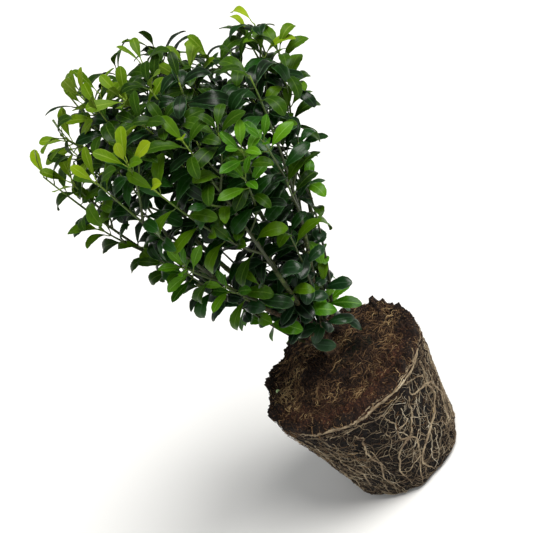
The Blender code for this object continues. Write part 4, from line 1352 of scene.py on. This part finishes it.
def bladePoints(rows, look):
    # Upper side: the midrib is an arc, its pitch falling as -curl * s^1.3, and at each station s the
    # section runs out sideways by t times the half width s^base (1 - s)^tip, lifted by the fold,
    # swollen between rib and margin, rolled down and waved at the margin, which has shallow teeth.
    # Lower side: a line under the midrib, which with the margins closes the blade.
    stations = blade["rows"] + 1
    u = np.linspace(0, 1, stations)
    s = 1 - (1 - u) ** 1.3
    get = {key: stacked(rows, key) for key in blade["forms"]}
    length = get["length"][:, None]
    pitch = -get["curl"][:, None] * s ** 1.3
    step = np.diff(s, prepend=0.0)
    before = np.concatenate([pitch[:, :1], (pitch[:, 1:] + pitch[:, :-1]) / 2], axis=1)
    x = np.cumsum(np.cos(before) * step, axis=1) * length
    z = np.cumsum(np.sin(before) * step, axis=1) * length
    y = get["bend"][:, None] * length * s ** 2
    axis, normal = get["axis"][:, None], get["normal"][:, None]
    side = np.cross(normal, axis)
    rib = get["start"][:, None] + axis * x[..., None] + side * y[..., None] + normal * z[..., None]
    upright = normal * np.cos(pitch)[..., None] - axis * np.sin(pitch)[..., None]
    roll = (get["twist"][:, None] * s)[..., None]
    across = side * np.cos(roll) + upright * np.sin(roll)
    upright = upright * np.cos(roll) - side * np.sin(roll)
    outline = np.maximum(s, 0.012) ** look["base"] * np.maximum(1 - s, 0.004) ** look["tip"]
    outline = outline / outline.max()
    half = get["width"][:, None] / 2 * np.maximum(outline, blade["least"])
    t = np.array(blade["columns"])
    low, high = blade["toothed"]
    tooth = 1 + blade["teeth"] * np.where(np.arange(stations) % 2, 1, -1) * (s > low) * (s < high)
    reach = half[..., None] * t * np.where(np.abs(t) == 1, tooth[:, None], 1.0)
    wave = np.sin(blade["waves"] * s[None, :, None] + get["phase"][:, None, None] + 1.4 * np.sign(t))
    lift = get["fold"][:, None, None] * np.abs(t) + look["bulge"] * np.sin(np.pi * np.abs(t))
    lift = (lift - look["roll"] * t ** 4 + look["wave"] * wave * t ** 2) * half[..., None]
    upper = rib[:, :, None] + across[:, :, None] * reach[..., None] + upright[:, :, None] * lift[..., None]
    lower = rib - upright * blade["thickness"]
    return np.concatenate([upper, lower[:, :, None]], axis=2), s


def bladeFaces(count):
    # quads of the upper side, of the lower side, and a six-cornered face across each end
    stations = blade["rows"] + 1
    index = np.arange(stations * 6).reshape(stations, 6)
    top = [np.stack([index[:-1, j], index[1:, j], index[1:, j + 1], index[:-1, j + 1]], -1) for j in range(4)]
    halves = ((0, 5), (5, 4))
    low = [np.stack([index[:-1, a], index[:-1, b], index[1:, b], index[1:, a]], -1) for a, b in halves]
    ends = np.array([index[0, [0, 1, 2, 3, 4, 5]], index[-1, [5, 4, 3, 2, 1, 0]]])
    first = stations * 6 * np.arange(count)[:, None, None]
    faces = [np.concatenate(top), np.concatenate(low), ends]
    return [(part[None] + first).reshape(-1, part.shape[1]) for part in faces]


def bladeMaps(faceSets, count, s):
    # "blade": along and across each leaf. "OFBake": the same, set into a cell of its own for each side.
    stations = blade["rows"] + 1
    t = np.array(blade["columns"] + (0.0,))
    along = np.repeat(s, 6)
    across = np.tile((t + 1) / 2, stations)
    columns = max(1, math.ceil(math.sqrt(count)))
    rows = math.ceil(2 * count / columns)
    plain, packed = [], []
    for part, faces in enumerate(faceSets):
        corner = faces.ravel()
        leaf, local = corner // (stations * 6), corner % (stations * 6)
        place = np.stack([along[local], across[local]], axis=-1)
        cell = 2 * leaf + (part == 1)
        at = np.stack([cell % columns, cell // columns], axis=-1)
        plain.append(place)
        packed.append((at + 0.05 + 0.90 * place) / np.array([columns, rows]))
    return {"blade": np.concatenate(plain), "OFBake": np.concatenate(packed)}


def leafMaterial(name, look):
    # Euonymus leaf: a waxy upper side whose midrib and fine side veins are paler, a thin pale margin
    # that is a painted highlight, and soft mottling; the lower side is matt, with a raised pale midrib.
    values = {"Roughness": look["roughness"], "Specular IOR Level": look["gloss"]}
    made, tree, sockets = newMaterial(name, values)
    place = addNode(tree, "TexCoord", {}, output="Object")
    along = addNode(tree, "SeparateXYZ", {"Vector": addNode(tree, "UVMap", {}, {"uv_map": "blade"})})
    away = addNode(tree, "Math", {0: along.node.outputs["Y"], 1: 0.5}, {"operation": "SUBTRACT"})
    away = addNode(tree, "Math", {0: away}, {"operation": "ABSOLUTE"})
    # each leaf's random tone, held low by painted shade on leaves deep inside the crown
    tint = addNode(tree, "Attribute", {}, {"attribute_name": "tint"}, "Fac")
    mottle = addNode(tree, "TexNoise",
                     {"Vector": place, "Scale": grain(5.882), "Detail": 4.0, "Roughness": 0.6})
    both = addNode(tree, "Math", {0: mottle, 1: 0.55, 2: -0.275}, {"operation": "MULTIPLY_ADD"})
    both = addNode(tree, "Math", {0: both, 1: tint}, {"operation": "ADD"})
    colour = addNode(tree, "ValToRGB", {"Fac": both, "stops": list(zip((0.0, 0.5, 1.0), look["greens"]))})
    slant = addNode(tree, "Math", {0: away, 1: -3.2, 2: 0.0}, {"operation": "MULTIPLY_ADD"})
    ladder = addNode(tree, "Math", {0: along, 1: 7.5, 2: slant}, {"operation": "MULTIPLY_ADD"})
    vein = addNode(tree, "Math", {0: ladder, 1: 0.5}, {"operation": "PINGPONG"})
    soft = {"interpolation_type": "SMOOTHSTEP"}
    veins = addNode(tree, "MapRange",
                    {"Value": vein, "From Min": 0.10, "From Max": 0.0, "To Max": look["veins"]}, soft)
    rib = {"Value": away, "From Min": look["ribWidth"], "From Max": 0.012, "To Max": look["rib"]}
    rib = addNode(tree, "MapRange", rib, soft)
    lines = addNode(tree, "Math", {0: veins, 1: rib}, {"operation": "MAXIMUM"})
    pale = linear(look["ribColour"])
    colour = addNode(tree, "Mix", {0: lines, 6: colour, 7: pale}, {"data_type": "RGBA"}, 2)
    # painted highlight: a pale band along the margin, where the rolled edge would catch the light
    edge = {"Value": away, "From Min": 0.445, "From Max": 0.49, "To Max": look["edge"]}
    edge = addNode(tree, "MapRange", edge, soft)
    pale = linear(look["marginHighlightColour"])
    colour = addNode(tree, "Mix", {0: edge, 6: colour, 7: pale}, {"data_type": "RGBA"}, 2)
    tree.links.new(colour, sockets["Base Color"])
    relief = addNode(tree, "Bump", {"Height": lines, "Strength": 0.5, "Distance": 0.0003})
    relief = addNode(tree, "Bump", {"Height": mottle, "Strength": 0.25, "Distance": 0.0006, "Normal": relief})
    tree.links.new(relief, sockets["Normal"])
    return made


# on each side, the last two are the strength and the colour of the painted highlight along the margin
leafSides = ("greens", "roughness", "gloss", "ribColour", "ribWidth", "rib", "veins", "edge", "marginHighlightColour")
# the upper side, then the lower side, of each age of leaf
leafLooks = {
    "leavesYoung": (
        (("#446400", "#618004", "#879e12"), 0.46, 0.10, "#a0b44a", 0.06, 0.35, 0.12, 0.2, "#b0bc68"),
        (("#506d0e", "#6c881e", "#889f38"), 0.64, 0.14, "#9aab56", 0.07, 0.7, 0.18, 0.2, "#9cab5c"),
    ),
    "leavesOlive": (
        (("#142d00", "#284702", "#476a06"), 0.36, 0.10, "#6f8f36", 0.05, 0.3, 0.10, 0.3, "#6c8c3c"),
        (("#284508", "#3e5e11", "#587722"), 0.66, 0.13, "#75883f", 0.06, 0.6, 0.15, 0.25, "#708240"),
    ),
    "leavesVivid": (
        (("#1f4a00", "#366703", "#54820c"), 0.36, 0.15, "#84b44c", 0.05, 0.45, 0.14, 0.3, "#6fa43e"),
        (("#2f6209", "#477b16", "#63932b"), 0.62, 0.22, "#86aa52", 0.06, 0.6, 0.16, 0.2, "#759c42"),
    ),
    "leavesDark": (
        (("#041502", "#0c2b04", "#1c470a"), 0.31, 0.18, "#3d6238", 0.045, 0.4, 0.08, 0.62, "#4f7847"),
        (("#172c08", "#243d10", "#38531f"), 0.64, 0.20, "#5f753a", 0.06, 0.6, 0.12, 0.4, "#56703a"),
    ),
    "leavesOld": (
        (("#041206", "#0c260e", "#193b17"), 0.30, 0.26, "#48644a", 0.045, 0.4, 0.08, 0.62, "#587852"),
        (("#18280f", "#253719", "#374a28"), 0.66, 0.20, "#586a42", 0.06, 0.6, 0.12, 0.4, "#546841"),
    ),
}
massNodes = ["foliage_" + one["name"] for one in limbs]


def makeLeaves():
    # one piece for each age of leaf, with its upper and lower side's materials and sharp margins
    for kind, shape in leafKinds.items():
        rows = [leaf for leaf in leaves if leaf["kind"] == kind]
        grid, s = bladePoints(rows, shape)
        faceSets = bladeFaces(len(rows))
        looks = [dict(zip(leafSides, side)) for side in leafLooks[kind]]
        surfaces = [leafMaterial(kind + side, look) for side, look in zip(("Upper", "Lower"), looks)]
        slots = np.concatenate([np.full(len(faces), number) for faces, number in zip(faceSets, (0, 1, 1))])
        margin = np.zeros(grid.shape[:3], bool)
        margin[:, :, [0, 4]] = True
        margin[:, [0, -1]] = True
        tint = np.repeat([leaf["tint"] for leaf in rows], grid.shape[1] * grid.shape[2])
        makePiece(kind, "leaf", massNodes, grid.reshape(-1, 3), faceSets, surfaces, slots,
                  bladeMaps(faceSets, len(rows), s), {"tint": tint}, margin.ravel())


def evenPath(path, steps, reach):
    # the same number of points on every path, evenly spaced by length, as far as its last leaf
    given = np.array([tuple(point) for point in path])
    ends = np.concatenate([[0.0], np.cumsum(np.linalg.norm(np.diff(given, axis=0), axis=1))])
    at = np.linspace(0, min(ends[-1], reach), steps)
    return np.stack([np.interp(at, ends, given[:, k]) for k in range(3)], axis=-1)


twig = {
    "steps": 16,
    "sides": 5,
    "levelFrom": (0.20, 0.22),  # shoots are fresher from this height, over this rise
    "pastLeaf": 0.001,  # a shoot ends this far past its last leaf
    "stalkGirths": (0.00062, 0.00050, 0.00046, 0.00036),
    "stalkInto": 0.0016,  # a stalk runs this far into its blade,
    "stalkSag": 0.0004,  # and sags by this half way
    # freshness of the stalks of each age of leaf
    "stalks": {
        "leavesYoung": 0.95, "leavesOlive": 0.62, "leavesVivid": 0.72, "leavesDark": 0.30, "leavesOld": 0.22,
    },
    "colours": [(0.05, "#1e1f09"), (0.35, "#2e3a0e"), (0.65, "#486216"), (0.95, "#7f9830")],
}


def makeTwigs():
    # Shoots as tubes that thin evenly to their tips, and a stalk of four rings to each blade.
    steps, sides, girths = twig["steps"], twig["sides"], twig["stalkGirths"]
    leafy = [one for one in shoots if one["lastLeaf"] > 0.004 or one["rank"] == 0]
    paths = np.array([evenPath(one["path"], steps, one["lastLeaf"] + twig["pastLeaf"]) for one in leafy])
    start = np.array([one["radius"] for one in leafy])[:, None]
    share = np.linspace(0, 1, steps)
    radii = start + (shoot["tipRadius"] - start) * share
    rank = np.array([one["rank"] for one in leafy])[:, None]
    low, rise = twig["levelFrom"]
    level = np.clip((paths[..., 2] - low) / rise, 0, 1)
    fresh = np.clip(0.10 + 0.25 * level + 0.50 * share ** 2 * (0.4 + 0.6 * level) + 0.06 * rank, 0, 1)
    stems = tubes(paths, radii, sides, np.broadcast_to((0.2, 0.95, 0.15), paths.shape))
    base, begin, axis, normal = (stacked(leaves, key)[:, None] for key in ("base", "start", "axis", "normal"))
    t = np.linspace(0, 1, len(girths))[None, :, None]
    sag = normal * twig["stalkSag"] * np.sin(np.pi * t)
    stalks = base * (1 - t) + (begin + axis * twig["stalkInto"]) * t - sag
    girth = np.broadcast_to(girths, stalks.shape[:2])
    stalkFresh = np.repeat([twig["stalks"][leaf["kind"]] for leaf in leaves], 4 * len(girths))
    stalks = tubes(stalks, girth, 4, np.broadcast_to(normal, stalks.shape))
    points, faces, fresh = joinShapes([(*stems, np.repeat(fresh, sides)), (*stalks, stalkFresh)])
    makePiece("leafyTwigs", "green_bark", massNodes, points, faces, [twigSkin], values={"fresh": fresh})


def twigMaterial():
    # Green shoot: smooth and satin, dull olive on last year's wood, yellow-green and waxy at the tips.
    made, tree, sockets = newMaterial("greenShoot", {"Roughness": 0.48, "Specular IOR Level": 0.4})
    place = addNode(tree, "TexCoord", {}, output="Object")
    fresh = addNode(tree, "Attribute", {}, {"attribute_name": "fresh"}, "Fac")
    patch = addNode(tree, "TexNoise", {"Vector": place, "Scale": grain(3.333), "Detail": 4.0})
    both = addNode(tree, "Math", {0: patch, 1: 0.36, 2: -0.18}, {"operation": "MULTIPLY_ADD"})
    both = addNode(tree, "Math", {0: both, 1: fresh}, {"operation": "ADD"})
    colour = addNode(tree, "ValToRGB", {"Fac": both, "stops": twig["colours"]})
    tree.links.new(colour, sockets["Base Color"])
    relief = addNode(tree, "Bump", {"Height": patch, "Strength": 0.3, "Distance": 0.0003})
    tree.links.new(relief, sockets["Normal"])
    return made


twigSkin = twigMaterial()
makeTwigs()
makeLeaves()
print("leaves done")

# Stage, light and camera

def makeStage():
    # a plain pale floor, wide enough to fill the view
    look = {"Roughness": 0.9, "Specular IOR Level": 0.1, "Base Color": linear("#f2f2f0")}
    floor = newMaterial("paleFloor", look)[0]
    half, height = 9.0, -0.0008
    corners = ((-half, -half), (half, -half), (half, half), (-half, half))
    points = np.array([(x, y, height) for x, y in corners])
    makePiece("floor", None, None, points, [np.array([[0, 1, 2, 3]])], [floor])


light = {
    "key": {"towards": (0.47, -0.30, 0.83), "strength": 3.7, "spread": 36.0, "colour": (1.0, 0.985, 0.96)},
    "fill": {"towards": (-0.55, -0.75, 0.40), "strength": 0.55, "spread": 60.0, "colour": (0.96, 0.98, 1.0)},
    "room": 0.34,
}


def makeLight():
    # one broad key from the picture's upper right, a weak fill from the left, and a pale room
    for name in ("key", "fill"):
        values = light[name]
        lamp = bpy.data.lights.new(name, "SUN")
        lamp.energy = values["strength"]
        lamp.angle = math.radians(values["spread"])
        lamp.color = values["colour"]
        holder = bpy.data.objects.new(name, lamp)
        holder.rotation_mode = "QUATERNION"
        holder.rotation_quaternion = Vector(values["towards"]).to_track_quat("Z", "Y")
        bpy.context.scene.collection.objects.link(holder)
    world = bpy.data.worlds.new("room")
    bpy.context.scene.world = world
    world.use_nodes = True
    world.node_tree.nodes["Background"].inputs["Color"].default_value = (1.0, 1.0, 1.0, 1.0)
    world.node_tree.nodes["Background"].inputs["Strength"].default_value = light["room"]


view = {
    "target": (0.0, 0.0, 0.28),
    "distance": 1.0,
    "elevation": 26.6,
    "roll": 38.0,  # the plant leans to the upper left in the picture
    "lens": 85.3,
    "shift": (0.0647, -0.0741),
}


def makeCamera():
    # the camera stands off in front of the target, raised and then rolled
    camera = bpy.data.cameras.new("camera")
    camera.lens = view["lens"]
    camera.sensor_width = 36.0
    camera.shift_x, camera.shift_y = view["shift"]
    camera.clip_start, camera.clip_end = 0.05, 50.0
    holder = bpy.data.objects.new("camera", camera)
    rise = math.radians(view["elevation"])
    back = Vector((0.0, -math.cos(rise), math.sin(rise)))
    holder.location = Vector(view["target"]) + back * view["distance"]
    holder.rotation_mode = "QUATERNION"
    upright = back.to_track_quat("Z", "Y")
    holder.rotation_quaternion = upright @ Quaternion((0.0, 0.0, 1.0), math.radians(-view["roll"]))
    bpy.context.scene.collection.objects.link(holder)
    bpy.context.scene.camera = holder


makeStage()
makeLight()
makeCamera()
bpy.context.scene.view_settings.view_transform = "Standard"
print("stage, light and camera done")
